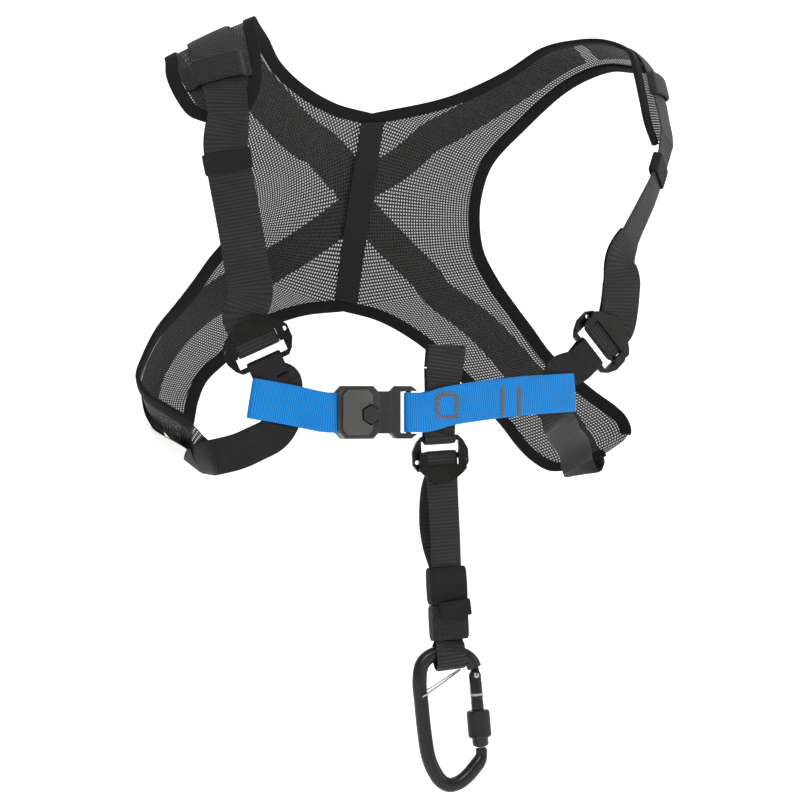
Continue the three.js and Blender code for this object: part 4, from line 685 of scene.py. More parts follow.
def pile():
    """Loop side of a hook-and-loop strip: short matt fibres, so tufts broken up by a fine noise"""
    finish, tree = start_finish("loop_pile")
    uv, _, _ = cloth_places(tree)
    tufts = add_node(tree, "ShaderNodeTexVoronoi", {"Vector": uv, "Scale": 620.0})
    fibres = add_node(tree, NOISE, {"Vector": uv, "Scale": 1700.0, "Detail": 4.0})
    height = add_node(tree, MATH, {0: tufts["Distance"], 1: fibres["Fac"]}, operation="MULTIPLY")[0]
    bump = add_node(tree, BUMP, {"Height": height, "Strength": 1.0, "Distance": 0.6 * MM})
    # Colour from the tufts' height, the same as the bump: darker in the hollows between them, a painted
    # shade, broken up by the fibres' random tone
    end_finish(tree, height, "#070808", "#272827",
               {"Roughness": 0.95, "Normal": bump["Normal"], "Sheen Weight": 0.1})
    return finish


PILE = pile()
NET_PITCH = 2.4  # coarser than the real one, so that its holes show at the camera's distance
NET_ROW_PITCH = 0.95 * NET_PITCH


def net():
    """Warp-knitted polyester net: small holes thin its alpha where cos(2 pi u / pitch) +
    cos(2 pi v / row pitch) is high, with the rows slipping a little along each other"""
    finish, tree = start_finish("knitted_net")
    uv, u, v = cloth_places(tree)
    slip = add_node(tree, NOISE, {"Vector": uv, "Scale": 30.0, "Detail": 1.0})
    u_turn = add_node(tree, MATH, {0: u, 1: 2 * pi / (NET_PITCH * MM)}, operation="MULTIPLY")
    v_turn = add_node(tree, MATH, {0: v, 1: 2 * pi / (NET_ROW_PITCH * MM)}, operation="MULTIPLY")
    slipped = add_node(tree, MATH, {0: slip["Fac"], 1: 5.0, 2: v_turn[0]}, operation="MULTIPLY_ADD")
    along, across = (add_node(tree, MATH, {0: turn[0]}, operation="COSINE") for turn in (u_turn, slipped))
    total = add_node(tree, MATH, {0: along[0], 1: across[0]}, operation="ADD")[0]
    strand = add_node(tree, MATH, {0: total, 1: 0.72}, operation="LESS_THAN")
    alpha = add_node(tree, MATH, {0: strand[0], 1: 0.42, 2: 0.58}, operation="MULTIPLY_ADD")
    height = add_node(tree, MATH, {0: total, 1: -0.4}, operation="MULTIPLY")[0]
    # Colour from the strands' height, the same as the bump: lighter on their raised middles and darker where
    # they dip towards the holes, a painted shade
    tone = add_node(tree, MATH, {0: height, 1: 0.3}, operation="ADD")[0]
    bump = add_node(tree, BUMP, {"Height": height, "Strength": 0.6, "Distance": 0.3 * MM})
    end_finish(tree, tone, "#0f0e0c", "#2c2926",
               {"Roughness": 0.7, "Alpha": alpha[0], "Normal": bump["Normal"]})
    return finish


NET = net()


def smooth_finish(name, low, high, roughness, metallic=0.0, scale=400.0, depth=0.03, coat=0.0, glow=0.0):
    """Smooth surface with a fine grain in colour, gloss and height, on Object coordinates"""
    finish, tree = start_finish(name)
    place = add_node(tree, "ShaderNodeTexCoord", {})["Object"]
    grain = add_node(tree, NOISE, {"Vector": place, "Scale": scale, "Detail": 4.0})["Fac"]
    patch = add_node(tree, NOISE, {"Vector": place, "Scale": 60.0, "Detail": 2.0})["Fac"]
    share = add_node(tree, MATH, {0: patch, 1: 0.5}, operation="ADD")
    tone = add_node(tree, MATH, {0: grain, 1: share[0]}, operation="MULTIPLY")[0]
    gloss = add_node(tree, MATH, {0: patch, 1: 0.16, 2: roughness - 0.08}, operation="MULTIPLY_ADD")
    bump = add_node(tree, BUMP, {"Height": grain, "Strength": 0.4, "Distance": depth * MM})
    end_finish(tree, tone, low, high, {
        "Roughness": gloss[0],
        "Metallic": metallic,
        "Normal": bump["Normal"],
        "Coat Weight": coat,
        "Emission Color": linear("#ffffff"),
        "Emission Strength": glow,
    })
    return finish


# Pressed steel of the adjusters, dark zinc-nickel plated; bevels round its edges, which catch the light
PLATED = smooth_finish("black_plated_steel", "#161615", "#33322f", 0.3, 0.8, 500.0)
# Forged aluminium of the carabiner, anodised satin black
ANODISED = smooth_finish("black_anodised_aluminium", "#141514", "#2a2b29", 0.34, 0.5, 900.0, 0.015)
# Stainless steel wire and rivet
STEEL = smooth_finish("stainless_steel", "#8a8a86", "#bdbdb8", 0.25, 1.0, 700.0, 0.01)
# Moulded polyamide of the clasp, warm grey with a faint sparkle
CLASP_PLASTIC = smooth_finish("moulded_grey_polyamide", "#1d1c1a", "#2f2d2a", 0.38, 0.1, 1500.0, 0.02, 0.15)
# The same polyamide of the clasp's face, lighter for its grained surface
CLASP_FACE = smooth_finish("grained_grey_polyamide", "#3b3b39", "#504f4c", 0.5, 0.1, 1500.0, 0.03)
# Moulded acetal of the clasp's button and hook, near black
DARK_PLASTIC = smooth_finish("moulded_black_acetal", "#100f0f", "#1d1c1b", 0.4, 0.0, 1200.0, 0.015, 0.1)
# Laser-marked ring on the gate, pale where the black layer is burnt away
MARKED = smooth_finish("laser_marked_ring", "#8d8d88", "#bdbcb6", 0.5, 0.4, 900.0)
# Painted studio wall, matt white, and clear from behind so that the back of the harness can be looked at
WALL = smooth_finish("studio_white", "#f2f2f2", "#ffffff", 0.95, 0.0, 20.0, 0.0, glow=0.5)
air = WALL.node_tree
seen_behind = add_node(air, "ShaderNodeNewGeometry", {})["Backfacing"]
solid = add_node(air, MATH, {0: 1.0, 1: seen_behind}, operation="SUBTRACT")
air.links.new(solid[0], next(n for n in air.nodes if n.type == "BSDF_PRINCIPLED").inputs["Alpha"])


# Mesh panels and their bindings

def panel_sheet(panel):
    """The panel's own P(s, v) as one sheet, with small folds along the wing and the back"""
    s = np.linspace(0.1, panel.last - 0.1, 420)[:, None]
    v = np.linspace(0.02, 0.98, 60)[None]
    s, v = np.broadcast_arrays(s, v)
    width = np.linalg.norm(panel.at(s, 1) - panel.at(s, 0), axis=-1)
    middle = panel.at(s, 0.5)
    length = run_length(middle[:, 30])[:, None] + v * 0
    ripple = 0.8 * np.sin(length / 17 + 3 * v) * np.sin(pi * v) ** 2 * np.sin(length / 41)
    points = panel.at(s, v) + panel.normal(s, v) * ripple[..., None]
    rows, cols = s.shape
    i, j = (a.ravel() for a in np.meshgrid(np.arange(rows - 1), np.arange(cols - 1), indexing="ij"))
    order = (0, 1, 2, 3) if panel.hand < 0 else (3, 2, 1, 0)
    corners = [i * cols + j, (i + 1) * cols + j, (i + 1) * cols + j + 1, i * cols + j + 1]
    quads = np.stack([corners[k] for k in order], 1)
    marks = np.stack([length, v * width], -1).reshape(-1, 2)
    return points.reshape(-1, 3), quads.tolist(), marks[quads].reshape(-1, 2)


def edge(panel, rail, start, stop, spacing=0.06):
    """Points, normals and inward directions along an edge of a panel"""
    s = np.linspace(start, stop, int(abs(stop - start) / spacing) + 1)
    v = np.full(len(s), float(rail))
    middle = panel.at(np.clip(s, 0.6, panel.last - 0.6), 0.5)
    return {"s": s, "v": v, "at": panel.at(s, v), "normal": panel.normal(s, v), "middle": middle,
            "side": np.full(len(s), PANELS.index(panel))}


def end_edge(panel, spacing=0.02):
    """The same across the end of a wing"""
    v = np.arange(0.03, 0.97, spacing)
    s = np.full(len(v), float(panel.last))
    middle = panel.at(s - 2, 0.5)
    return {"s": s, "v": v, "at": panel.at(s, v), "normal": panel.normal(s, v), "middle": middle,
            "side": np.full(len(s), PANELS.index(panel))}


def binding(edges):
    """Tape folded over an edge: its section runs from the front, BINDING_WIDTH in, round a half circle
    at the edge to the back, and inside again; it follows the panel where it lies on it."""
    line = {key: np.concatenate([e[key] for e in edges]) for key in edges[0]}
    along = unit(soften(np.gradient(line["at"], axis=0), 3))
    inward = unit(np.cross(line["normal"], along))
    facing_in = np.sign(np.sum(inward * (line["middle"] - line["at"]), -1, keepdims=True))
    inward = inward * facing_in
    high = MESH_WALL / 2 + BINDING_GAP + BINDING_WALL * 0.7
    low = high - BINDING_WALL * 0.8
    bend = np.linspace(pi / 2, 1.5 * pi, 9)
    outside = [(BINDING_WIDTH, high * 0.75), (BINDING_WIDTH * 0.85, high), (BINDING_WIDTH * 0.4, high)]
    outside += [(high * cos(a) * 0.9, high * sin(a)) for a in bend]
    outside += [(BINDING_WIDTH * 0.4, -high), (BINDING_WIDTH * 0.85, -high), (BINDING_WIDTH, -high * 0.75)]
    hidden = BINDING_WIDTH * 0.98
    inside = [(hidden, -low), (0.3, -low), (0.0, 0.0), (0.3, low), (hidden, low)]
    section = np.array(outside + inside)
    m, n = section[:, 0], section[:, 1]
    step = inward[:, None] * m[None, :, None]
    plain = line["at"][:, None] + step + line["normal"][:, None] * n[None, :, None]
    rings = plain.copy()
    for number, panel in enumerate(PANELS):
        here = line["side"] == number
        if not here.any():
            continue
        s, v, clear = panel.reach(line["s"][here, None], line["v"][here, None], step[here])
        on = panel.at(s, v) + panel.normal(s, v) * n[None, :, None]
        use = (clear & (m > 0)[None])[..., None]
        rings[here] = np.where(use, on, plain[here])
    reach = np.concatenate([[0], np.cumsum(np.linalg.norm(np.diff(section, axis=0), axis=1))])
    marks = np.stack(np.broadcast_arrays(run_length(line["at"])[:, None], reach[None]), -1)
    return skin(rings, marks)


for side, panel in (("right", PANELS[0]), ("left", PANELS[1])):
    net_piece = add_piece(f"net_panel_{side}", [panel_sheet(panel)], NET, [f"back_mesh_{side}"])
    long = run_length(panel.at(np.linspace(0, panel.last, 200), np.full(200, 0.5)))[-1] * MM
    add_piece(f"armhole_binding_{side}", [binding([edge(panel, 0, 0, panel.last - 1)])], BINDING,
              [f"arm_binding_{side}"])

top = PANELS[0].station("spine_top")
foot = PANELS[0].station("spine_foot")
add_piece("neckline_binding", [binding([edge(PANELS[0], 1, 0, top), edge(PANELS[1], 1, top, 0)])],
          BINDING, ["neck_binding"])
last = PANELS[0].last
hem = [edge(PANELS[0], 1, last, foot), edge(PANELS[1], 1, foot, last)]
ends = [binding([end_edge(panel)]) for panel in PANELS]
add_piece("lower_hem_binding", [binding(hem), *ends], BINDING, ["hem_binding"])

spine_s = np.linspace(top + 0.12, foot - 0.15, 120)
spine_up = unit(PANELS[0].normal(spine_s, 0.98) + PANELS[1].normal(spine_s, 0.98))
spine_at = (PANELS[0].at(spine_s, 1) + PANELS[1].at(spine_s, 1)) / 2
none = np.zeros(len(spine_s))
spine = {"at": spine_at - spine_up * SPINE_INSIDE, "up": spine_up, "panel": none + FREE,
         "s": none, "v": none, "lift": none, "width": none}
add_piece("spine_seam_tape", [strap(spine, SPINE_WIDTH, TAPE_WALL, 2.0, 0.06)], BAND,
          ["spine_tape"])


# Metal adjusters: from the fixed bar at y = -BAR_SPACING to the plate beyond the adjusting bar at y = 0
FIXED_TURN_Y = FIXED_BAR / 2 + METAL_GAP + 0.5 + WEBBING_WALL / 2
FIXED_TURN_Z = FRAME_WALL / 2 + METAL_GAP + 0.4 + WEBBING_WALL / 2
ADJUST_TURN = ADJUST_BAR_RADIUS + METAL_GAP + WEBBING_WALL / 2
END_BAR_Y = ADJUST_TURN + WEBBING_WALL / 2 + METAL_GAP + 4.4


def frame_knots(frame, rows, width=0):
    """Knots from rows of y, z and the outward direction's shares along y and z"""
    return [(place_in(frame, 0, y, z), frame["y"] * uy + frame["z"] * uz, width) for y, z, uy, uz in rows]


def adjust_turn(frame, reach):
    """Round the adjusting bar, from the far side of the plate and back to it"""
    far = END_BAR_Y + FIXED_BAR / 2
    apart = (WEBBING_WALL + CLOTH_GAP) / 2
    r = ADJUST_TURN
    return frame_knots(frame, [
        (far + reach, apart + 1.15, 0, 1),
        (far + 3, FIXED_TURN_Z - 0.4, 0, 1),
        (END_BAR_Y, r, 0, 1),
        (0, r, 0, 1),
        (-r * 0.71, r * 0.71, -0.71, 0.71),
        (-r, 0, -1, 0),
        (-r * 0.71, -r * 0.71, -0.71, -0.71),
        (0, -r, 0, -1),
        (END_BAR_Y, -r, 0, -1),
        (far + 3, -FIXED_TURN_Z + 0.4, 0, -1),
        (far + reach, -apart - 1.8, 0, -1),
    ])


def fixed_turn(frame, tail=14, width=0):
    """Round the fixed bar, from behind to the front"""
    apart = (WEBBING_WALL + CLOTH_GAP) / 2
    bar = FIXED_BAR / 2
    rows = [
        (-tail, -apart, 0, -1),
        (-bar - 4.5, -FIXED_TURN_Z + 0.6, 0, -1),
        (-bar, -FIXED_TURN_Z, 0, -1),
        (bar - 0.6, -FIXED_TURN_Z, 0.2, -1),
        (FIXED_TURN_Y, 0, 1, 0),
        (bar - 0.6, FIXED_TURN_Z, 0.2, 1),
        (-bar, FIXED_TURN_Z, 0, 1),
        (-bar - 4.5, FIXED_TURN_Z - 0.6, 0, 1),
        (-tail, apart, 0, 1),
    ]
    return frame_knots(frame, [(y - BAR_SPACING, z, uy, uz) for y, z, uy, uz in rows], width)


def free_knots(rows):
    """Knots from rows of across, back, down, turn to the wearer's left and tilt down, in degrees"""
    knots = []
    for across, back, down, turn, *tilt in rows:
        lean = radians(tilt[0] if tilt else 0)
        up = facing(turn) * cos(lean) + vec(0, 0, -sin(lean))
        knots.append((vec(across, back, down) * TORSO, up, 0))
    return knots


right_buckle = local_frame(
    vec(-0.345, -0.26, -0.745) * TORSO,
    np.cross(facing(-25), vec(0, 0, -1)) + vec(0, 0, 0.45),
    facing(-25),
)
left_buckle = local_frame(vec(0.31, -0.235, -0.728) * TORSO, vec(0.68, 0.07, -0.73), facing(2))

# Shoulder straps: rows on the panel, then down the chest
STRAPS = {
    "right": {
        "buckle": right_buckle,
        "reach": 12,
        "cap": [(12.2, 0.88, 0), (11, 0.63, 0), (10, 0.64, 0.5), (9, 0.66, 1), (8, 0.64, 1),
                (7, 0.57, 0.6), (6, 0.5, 0), (5, 0.48, 0), (4, 0.48, 0), (3, 0.5, 0), (2, 0.53, 0.6),
                (1, 0.54, 1.2), (0.2, 0.54, 1.5)],
        "chest": [(-0.407, -0.285, -0.27, -27), (-0.4, -0.29, -0.335, -26), (-0.391, -0.292, -0.4, -25),
                  (-0.381, -0.29, -0.47, -25), (-0.37, -0.285, -0.55, -25), (-0.361, -0.278, -0.62, -25)],
    },
    "left": {
        "buckle": left_buckle,
        "reach": 8,
        "cap": [(7.2, 0.5, 0), (6, 0.5, 0), (5, 0.5, 0), (4, 0.5, 0), (3, 0.5, 0.1), (2, 0.5, 0.8),
                (1, 0.49, 1.3), (0.2, 0.48, 1.5)],
        "chest": [(0.425, -0.262, -0.29, 52), (0.407, -0.272, -0.345, 48), (0.386, -0.275, -0.4, 44),
                  (0.364, -0.272, -0.46, 40), (0.344, -0.276, -0.52, 20), (0.346, -0.275, -0.58, 2)],
    },
}
TAIL_ROWS = 3
TAIL_APART = WEBBING_WALL + CLOTH_GAP
strap_runs = {}
for number, side in enumerate(("right", "left")):
    spec = STRAPS[side]
    chest = free_knots(spec["chest"])
    behind = [(at - up * TAIL_APART, -up, 0) for at, up, _ in reversed(chest[-TAIL_ROWS:])]
    over = panel_run(number, spec["cap"], WEBBING_WALL)
    strap_runs[side] = with_free(over, [*chest, *adjust_turn(spec["buckle"], spec["reach"]), *behind])
    add_piece(f"shoulder_webbing_{side}", [strap(strap_runs[side], SHOULDER_WIDTH, WEBBING_WALL, 2.7)],
              WEBBING, [f"shoulder_strap_{side}"])

# Crossed bands and the straps that go on from them to the fixed bars
band_right = joined(
    panel_run(LEFT, [(7.6, 0.5, 0), (8, 0.5, 0), (9, 0.54, 0), (10, 0.55, 0), (11, 0.52, 0),
                     (11.8, 0.7, 0), (12.4, 0.96, 0)], WEBBING_WALL),
    panel_run(RIGHT, [(12.9, 0.96, 0), (13.2, 0.82, 0), (13.7, 0.62, 0), (14.3, 0.45, 0), (15.2, 0.34, 0),
                      (16, 0.3, 0), (17, 0.33, 0), (18, 0.36, 0), (19, 0.4, 0), (20, 0.45, 0),
                      (21, 0.5, 0.3), (22, 0.52, 0.8), (23, 0.52, 1.1), (24, 0.52, 1.1)], WEBBING_WALL),
)
band_left = joined(
    panel_run(RIGHT, [(11.7, 0.78, 1), (12.2, 0.88, 1), (12.6, 0.965, 1)], WEBBING_WALL),
    panel_run(LEFT, [(12.88, 0.96, 1), (13.1, 0.87, 1), (13.8, 0.6, 0.3), (14.6, 0.42, 0), (16, 0.37, 0),
                     (17, 0.35, 0), (18, 0.35, 0), (19, 0.38, 0), (20, 0.42, 0), (21, 0.46, 0.3),
                     (22, 0.5, 0.8), (23, 0.52, 1.1), (24, 0.52, 1.1)], WEBBING_WALL),
)
WING_STRAPS = {
    "right": [(-0.42, -0.275, -1.01, -50), (-0.388, -0.3, -0.998, -20), (-0.355, -0.292, -0.98, -8),
              (-0.32, -0.288, -0.955, -5), (-0.302, -0.283, -0.92, -5), (-0.299, -0.2825, -0.87, -6),
              (-0.301, -0.2815, -0.83, -7)],
    "left": [(0.392, 0.318, -1.068, 0, 80), (0.368, 0.25, -1.046, -10, 20), (0.34, 0.15, -1.0, 0, 35),
             (0.285, -0.02, -0.965, 0, 50), (0.25, -0.15, -0.94, 4, 45), (0.226, -0.225, -0.925, 8, 20),
             (0.219, -0.2475, -0.895, 8, 0), (0.219, -0.248, -0.85, 8, 0), (0.225, -0.249, -0.81, 7, 0)],
}
for side, run, buckle in (("right", band_right, right_buckle), ("left", band_left, left_buckle)):
    whole = with_free(run, [*free_knots(WING_STRAPS[side]), *reversed(fixed_turn(buckle))])
    add_piece(f"crossed_band_{side}", [strap(whole, BAND_WIDTH, WEBBING_WALL, 2.3)], BAND,
              [f"back_band_{side}"])

# Chest tapes, each a flat loop round the clasp's pin and the strap
TAPE_TURN = TAPE_PIN_RADIUS + METAL_GAP + TAPE_WALL / 2
clasp = local_frame(vec(-0.171, -0.3, -0.905) * TORSO, vec(1, 0, 0), facing(-3))
RIGHT_PIN_X = -CLASP_WIDTH / 2 + 5.5
RING_START = CLASP_WIDTH / 2 + METAL_GAP + NECK_LENGTH
LEFT_PIN_X = RING_START + RING_WIDTH * 0.73


def tape_loop(middle, half_gap):
    """Along the front of the middle line, round its end, back behind and round its start"""
    at = np.array([m[0] for m in middle])
    up = np.array([m[1] for m in middle])
    last = len(middle) - 1

    def shifted(k, angle):
        """Knot half the gap from the middle line, turned by the angle from up to along"""
        along = unit(at[min(k + 1, last)] - at[max(k - 1, 0)])
        out = up[k] * cos(angle) + along * sin(angle)
        return (at[k] + out * half_gap, out, 0)

    front = [shifted(k, 0) for k in range(last + 1)]
    end_turn = [shifted(last, q * pi / 4) for q in (1, 2, 3)]
    back = [shifted(k, pi) for k in range(last, -1, -1)]
    start_turn = [shifted(0, -q * pi / 4) for q in (3, 2, 1)]
    knots = [*back[1:], *start_turn, *front, *end_turn, back[0]]
    seam = np.linalg.norm(back[1][0] - back[0][0])
    knots.append((mix(back[1][0], back[0][0], CLOTH_GAP / seam), back[1][1], 0))
    return knots, front


CHEST_TAPES = {
    "right": {"pin": RIGHT_PIN_X, "before": -13,
              "rows": [(-0.354, -0.276, -0.872, -6), (-0.32, -0.28, -0.88, -5),
                       (-0.285, -0.286, -0.889, -4)]},
    "left": {"pin": LEFT_PIN_X, "before": 13,
             "rows": [(0.252, -0.235, -0.856, 8), (0.2, -0.258, -0.86, 6), (0.14, -0.275, -0.866, 4),
                      (0.06, -0.288, -0.878, 2), (0.0, -0.293, -0.89, 0)]},
}
tape_fronts = {}
for side, tape in CHEST_TAPES.items():
    middle = [(at, up) for at, up, _ in free_knots(tape["rows"])]
    for x in (tape["pin"] + tape["before"], tape["pin"]):
        middle.append((place_in(clasp, x, 0, 0), clasp["z"]))
    knots, front = tape_loop(middle, TAPE_TURN)
    tape_fronts[side] = free_run(front)
    add_piece(f"blue_tape_{side}", [strap(free_run(knots), CHEST_TAPE_WIDTH, TAPE_WALL, spacing=0.8)],
              BLUE, [f"chest_tape_{side}"])


def on_left_tape(x, z):
    """Points on the front of the left tape at (x, z), and the way out of it there"""
    run = tape_fronts["left"]
    order = np.argsort(run["at"][:, 0])
    line, ups = run["at"][order], run["up"][order]
    y = np.interp(x, line[:, 0], line[:, 1])
    up = unit(np.stack([np.interp(x, line[:, 0], ups[:, n]) for n in range(3)], -1))
    return np.stack([x, y, z], -1) + up * (TAPE_WALL / 2 + 0.25), up


def rounded_square(half, corner, count=160):
    """|x|^4 + |z|^4 = half^4, squared off by the corner's share"""
    a = np.linspace(0, 2 * pi, count)
    power = 2 / corner
    x = half * np.sign(np.cos(a)) * np.abs(np.cos(a)) ** power
    z = half * np.sign(np.sin(a)) * np.abs(np.sin(a)) ** power
    return x, z


tape_threads = []
for half in (9.6, 8.5, 7.4):
    x, z = rounded_square(half, 5)
    tape_threads += stitches(*on_left_tape(-1.5 + x, -266.7 + z * 0.98), radius=0.62)
for x in (45.0, 59.5):
    z = -263.5 + np.linspace(-11.5, 11.5, 40)
    for row in (-0.9, 0, 0.9):
        tape_threads += stitches(*on_left_tape(x + row + 0 * z, z), length=1.6, gap=0.1, radius=0.6)
add_piece("tape_stitching", tape_threads, THREAD)


# Elastic keepers and pile flaps

def section_below(run, down):
    """Place, direction across and direction out where a free run first falls below a height"""
    free = (run["panel"] == FREE) & (run["at"][:, 2] < down * BODY_DROP)
    k = int(np.argmax(free))
    along = unit(run["at"][k + 1] - run["at"][k - 1])
    across = unit(np.cross(run["up"][k], along))
    return run["at"][k], across, unit(np.cross(along, across))


for side, down in (("right", -0.305), ("left", -0.29)):
    at, across, up = section_below(strap_runs[side], down)
    band = band_frame(at - up * TAIL_APART / 2, across, up)
    height = 2 * WEBBING_WALL + CLOTH_GAP + 1
    add_piece(f"elastic_band_{side}", [ring_band(band, SHOULDER_WIDTH, height, KEEPER_WALL, KEEPER_LENGTH)],
              ELASTIC, [f"strap_keeper_{side}"])


def cap_flap(panel, s, layer, reach=0.62):
    """Flap across the cap: it stands over the strap and falls to the mesh beside it, as a smooth step"""
    c = 0.5 * np.sin(np.linspace(-pi / 2, pi / 2, 41))[None]
    run = np.linspace(-0.5, 0.5, 31)[:, None]
    width = np.linalg.norm(panel.at(s, 1) - panel.at(s, 0))
    along = unit(panel.at(s - 0.5, 0.5) - panel.at(s + 0.5, 0.5))
    v = 0.5 + c * reach + 0 * run
    step = along * (FLAP_LENGTH * run + 0 * c)[..., None]
    to_s, to_v, _ = panel.near(s + 0 * v, v, step)
    up = panel.normal(to_s, to_v)
    off_strap = np.maximum(0, np.abs(c) * reach * width - SHOULDER_WIDTH / 2)
    drop = np.clip(off_strap / 6, 0, 1) ** 2 * (3 - 2 * np.clip(off_strap / 6, 0, 1))
    high = MESH_WALL / 2 + BAND_GAP + WEBBING_WALL + layer * LAYER + CLOTH_GAP
    base = mix(high, MESH_WALL / 2 + CLOTH_GAP + 0.6, drop) + 0 * run
    to_sides, to_ends = np.sqrt(1 - np.abs(2 * c) ** 12), np.sqrt(1 - np.abs(2 * run) ** 16)
    thick = FLAP_WALL * np.maximum(to_sides * to_ends, 0.3)
    at = panel.at(to_s, to_v)
    over = at + up * (base + FLAP_WALL / 2 + thick / 2)[..., None]
    under = at + up * (base + FLAP_WALL / 2 - thick / 2)[..., None]
    rings = np.concatenate([over, under[:, ::-1]], 1)
    breadth = np.concatenate([c, c[:, ::-1]], 1) * width * reach
    marks = np.stack(np.broadcast_arrays(run * FLAP_LENGTH, breadth), -1)
    return skin(rings, marks)


add_piece("pile_flap_right", [cap_flap(PANELS[0], 2.5, 0.8, 0.74)], PILE, ["cap_keeper_right"])
add_piece("pile_flap_left", [cap_flap(PANELS[1], 2.7, 0.7)], PILE, ["cap_keeper_left"])

# Care label on the right wing's end
s = np.linspace(21.4, 23.4, 24)[:, None]
v = np.linspace(0.3, 0.6, 12)[None]
up = PANELS[0].normal(s + 0 * v, v + 0 * s)
far = MESH_WALL / 2 + BAND_GAP + WEBBING_WALL + LAYER + 1.4
label_under = PANELS[0].at(s, v) + up * far
label_over = label_under + up * 0.5
rings = np.concatenate([label_over, label_under[:, ::-1]], 1)
marks = np.stack(np.broadcast_arrays(s * 10, np.concatenate([v, v[:, ::-1]], 1) * 60), -1)
add_piece("care_tag", [skin(rings, marks)], LABEL, ["care_label"])

# Drop: the sling round the chest tape's back layer and the adjuster's bar
drop_buckle = local_frame(vec(-0.012, -0.288, -1.012) * TORSO, vec(-0.978, 0.12, -0.0587), facing(-4))
LOOP_WIDTH = 30
tape_y = -0.293 * CHEST_DEPTH
behind_y = tape_y + TAPE_TURN + TAPE_WALL / 2 + CLOTH_GAP + WEBBING_WALL / 2
half = (behind_y - tape_y) / 2
loop_top = -0.742 * BODY_DROP


def sling_knot(dx, y, z, uy, uz, wide):
    """Knot beside the sling's own line, whose width goes from the drop's to the loop's"""
    return (vec(-0.004 * CHEST_WIDTH + dx, y, z), vec(0, uy, uz), mix(DROP_WIDTH, LOOP_WIDTH, wide))


sling = [
    sling_knot(0, behind_y, -0.8 * BODY_DROP, 1, 0, 0.9),
    sling_knot(2, behind_y, loop_top - half, 1, 0, 1),
    sling_knot(2.4, (tape_y + behind_y) / 2, loop_top, 0, 1, 1),
    sling_knot(2, tape_y, loop_top - half, -1, 0, 1),
    sling_knot(0, tape_y, -0.8 * BODY_DROP, -1, 0, 0.9),
    sling_knot(-2, tape_y, -0.87 * BODY_DROP, -1, 0, 0),
    sling_knot(-3.3, tape_y, -0.925 * BODY_DROP, -1, 0, 0),
    sling_knot(-3.7, tape_y - 0.2, -0.946 * BODY_DROP, -1, 0, 0),
    *reversed(fixed_turn(drop_buckle, 8, DROP_WIDTH)[2:-2]),
    sling_knot(-3.7, behind_y, -0.945 * BODY_DROP, 1, 0, 0),
    sling_knot(-3.3, behind_y, -0.925 * BODY_DROP, 1, 0, 0),
    sling_knot(-2, behind_y, -0.87 * BODY_DROP, 1, 0, 0),
    sling_knot(0, behind_y, -0.8006 * BODY_DROP, 1, 0, 0.9),
]
add_piece("drop_sling", [strap(free_run(sling), DROP_WIDTH, WEBBING_WALL, 2.3)], WEBBING,
          ["drop_loop"])

# Hanging strap and its tail
SWAY = 0.058
drop_top = vec(-0.012, -0.29, -1.0) * TORSO
downward = unit(vec(SWAY, 0, -1))
drop_across = unit(vec(1, 0, SWAY))
forward = vec(0, -1, 0)


def drop_spot(fall, y=0.0, x=0.0):
    """Place a fall below the top of the drop, which sways to the wearer's left as it goes down"""
    return drop_top + vec(SWAY * fall + x, y, -fall)


hanging = [
    (drop_spot(0.76 * DROP_LENGTH), forward, 0),
    (drop_spot(0.6 * DROP_LENGTH), forward, 0),
    (drop_spot(0.42 * DROP_LENGTH, -1), forward, 0),
    (drop_spot(0.26 * DROP_LENGTH, -1.2), forward, 0),
    *adjust_turn(drop_buckle, 4),
    (drop_spot(0.2 * DROP_LENGTH, 10, -1), -forward, 0),
    (drop_spot(0.36 * DROP_LENGTH, 11, -3), -forward, 0),
    (drop_spot(0.46 * DROP_LENGTH, 7.5, -3), -forward, 0),
    (drop_spot(0.56 * DROP_LENGTH, 2.6, -1), -forward, 0),
    (drop_spot(0.63 * DROP_LENGTH, 2.2), -forward, 0),
]
add_piece("hanging_webbing", [strap(free_run(hanging), DROP_WIDTH, WEBBING_WALL, 2.3, 0.18)], WEBBING,
          ["drop_strap"])
SLEEVE_FALL = 0.66 * DROP_LENGTH
PAD_FALL = SLEEVE_FALL + SLEEVE_CLOTH_LENGTH / 2 + PAD_LENGTH / 2 + CLOTH_GAP
LAYERS = 2 * WEBBING_WALL + 1.8


def drop_frame(fall, y):
    """Frame of a band round the drop"""
    return band_frame(drop_spot(fall, y), drop_across, forward)


add_piece("twill_sleeve", [ring_band(drop_frame(SLEEVE_FALL, 1), DROP_WIDTH + 1, LAYERS + 1, 2,
                                     SLEEVE_CLOTH_LENGTH, bulge=0.3)], ELASTIC, ["drop_sleeve"])
add_piece("pile_sleeve", [ring_band(drop_frame(PAD_FALL, 1), DROP_WIDTH + 0.5, LAYERS + 0.6, 2,
                                    PAD_LENGTH, bulge=0.2)], PILE, ["drop_pad"])
slide_out = (LAYERS + 0.6) / 2 + CLOTH_GAP + 2 + 0.4 + 2.2
slide_frame = band_frame(drop_spot(PAD_FALL - 10, 1 - slide_out, 2.4), vec(1, 0, 0.13), forward)
add_piece("slide_band", [ring_band(slide_frame, DROP_WIDTH - 2, 0.8, 1.1, SLIDE_LENGTH)], ELASTIC,
          ["drop_slide"])


# Metal and moulded pieces keep their CAD form, with rounded edges

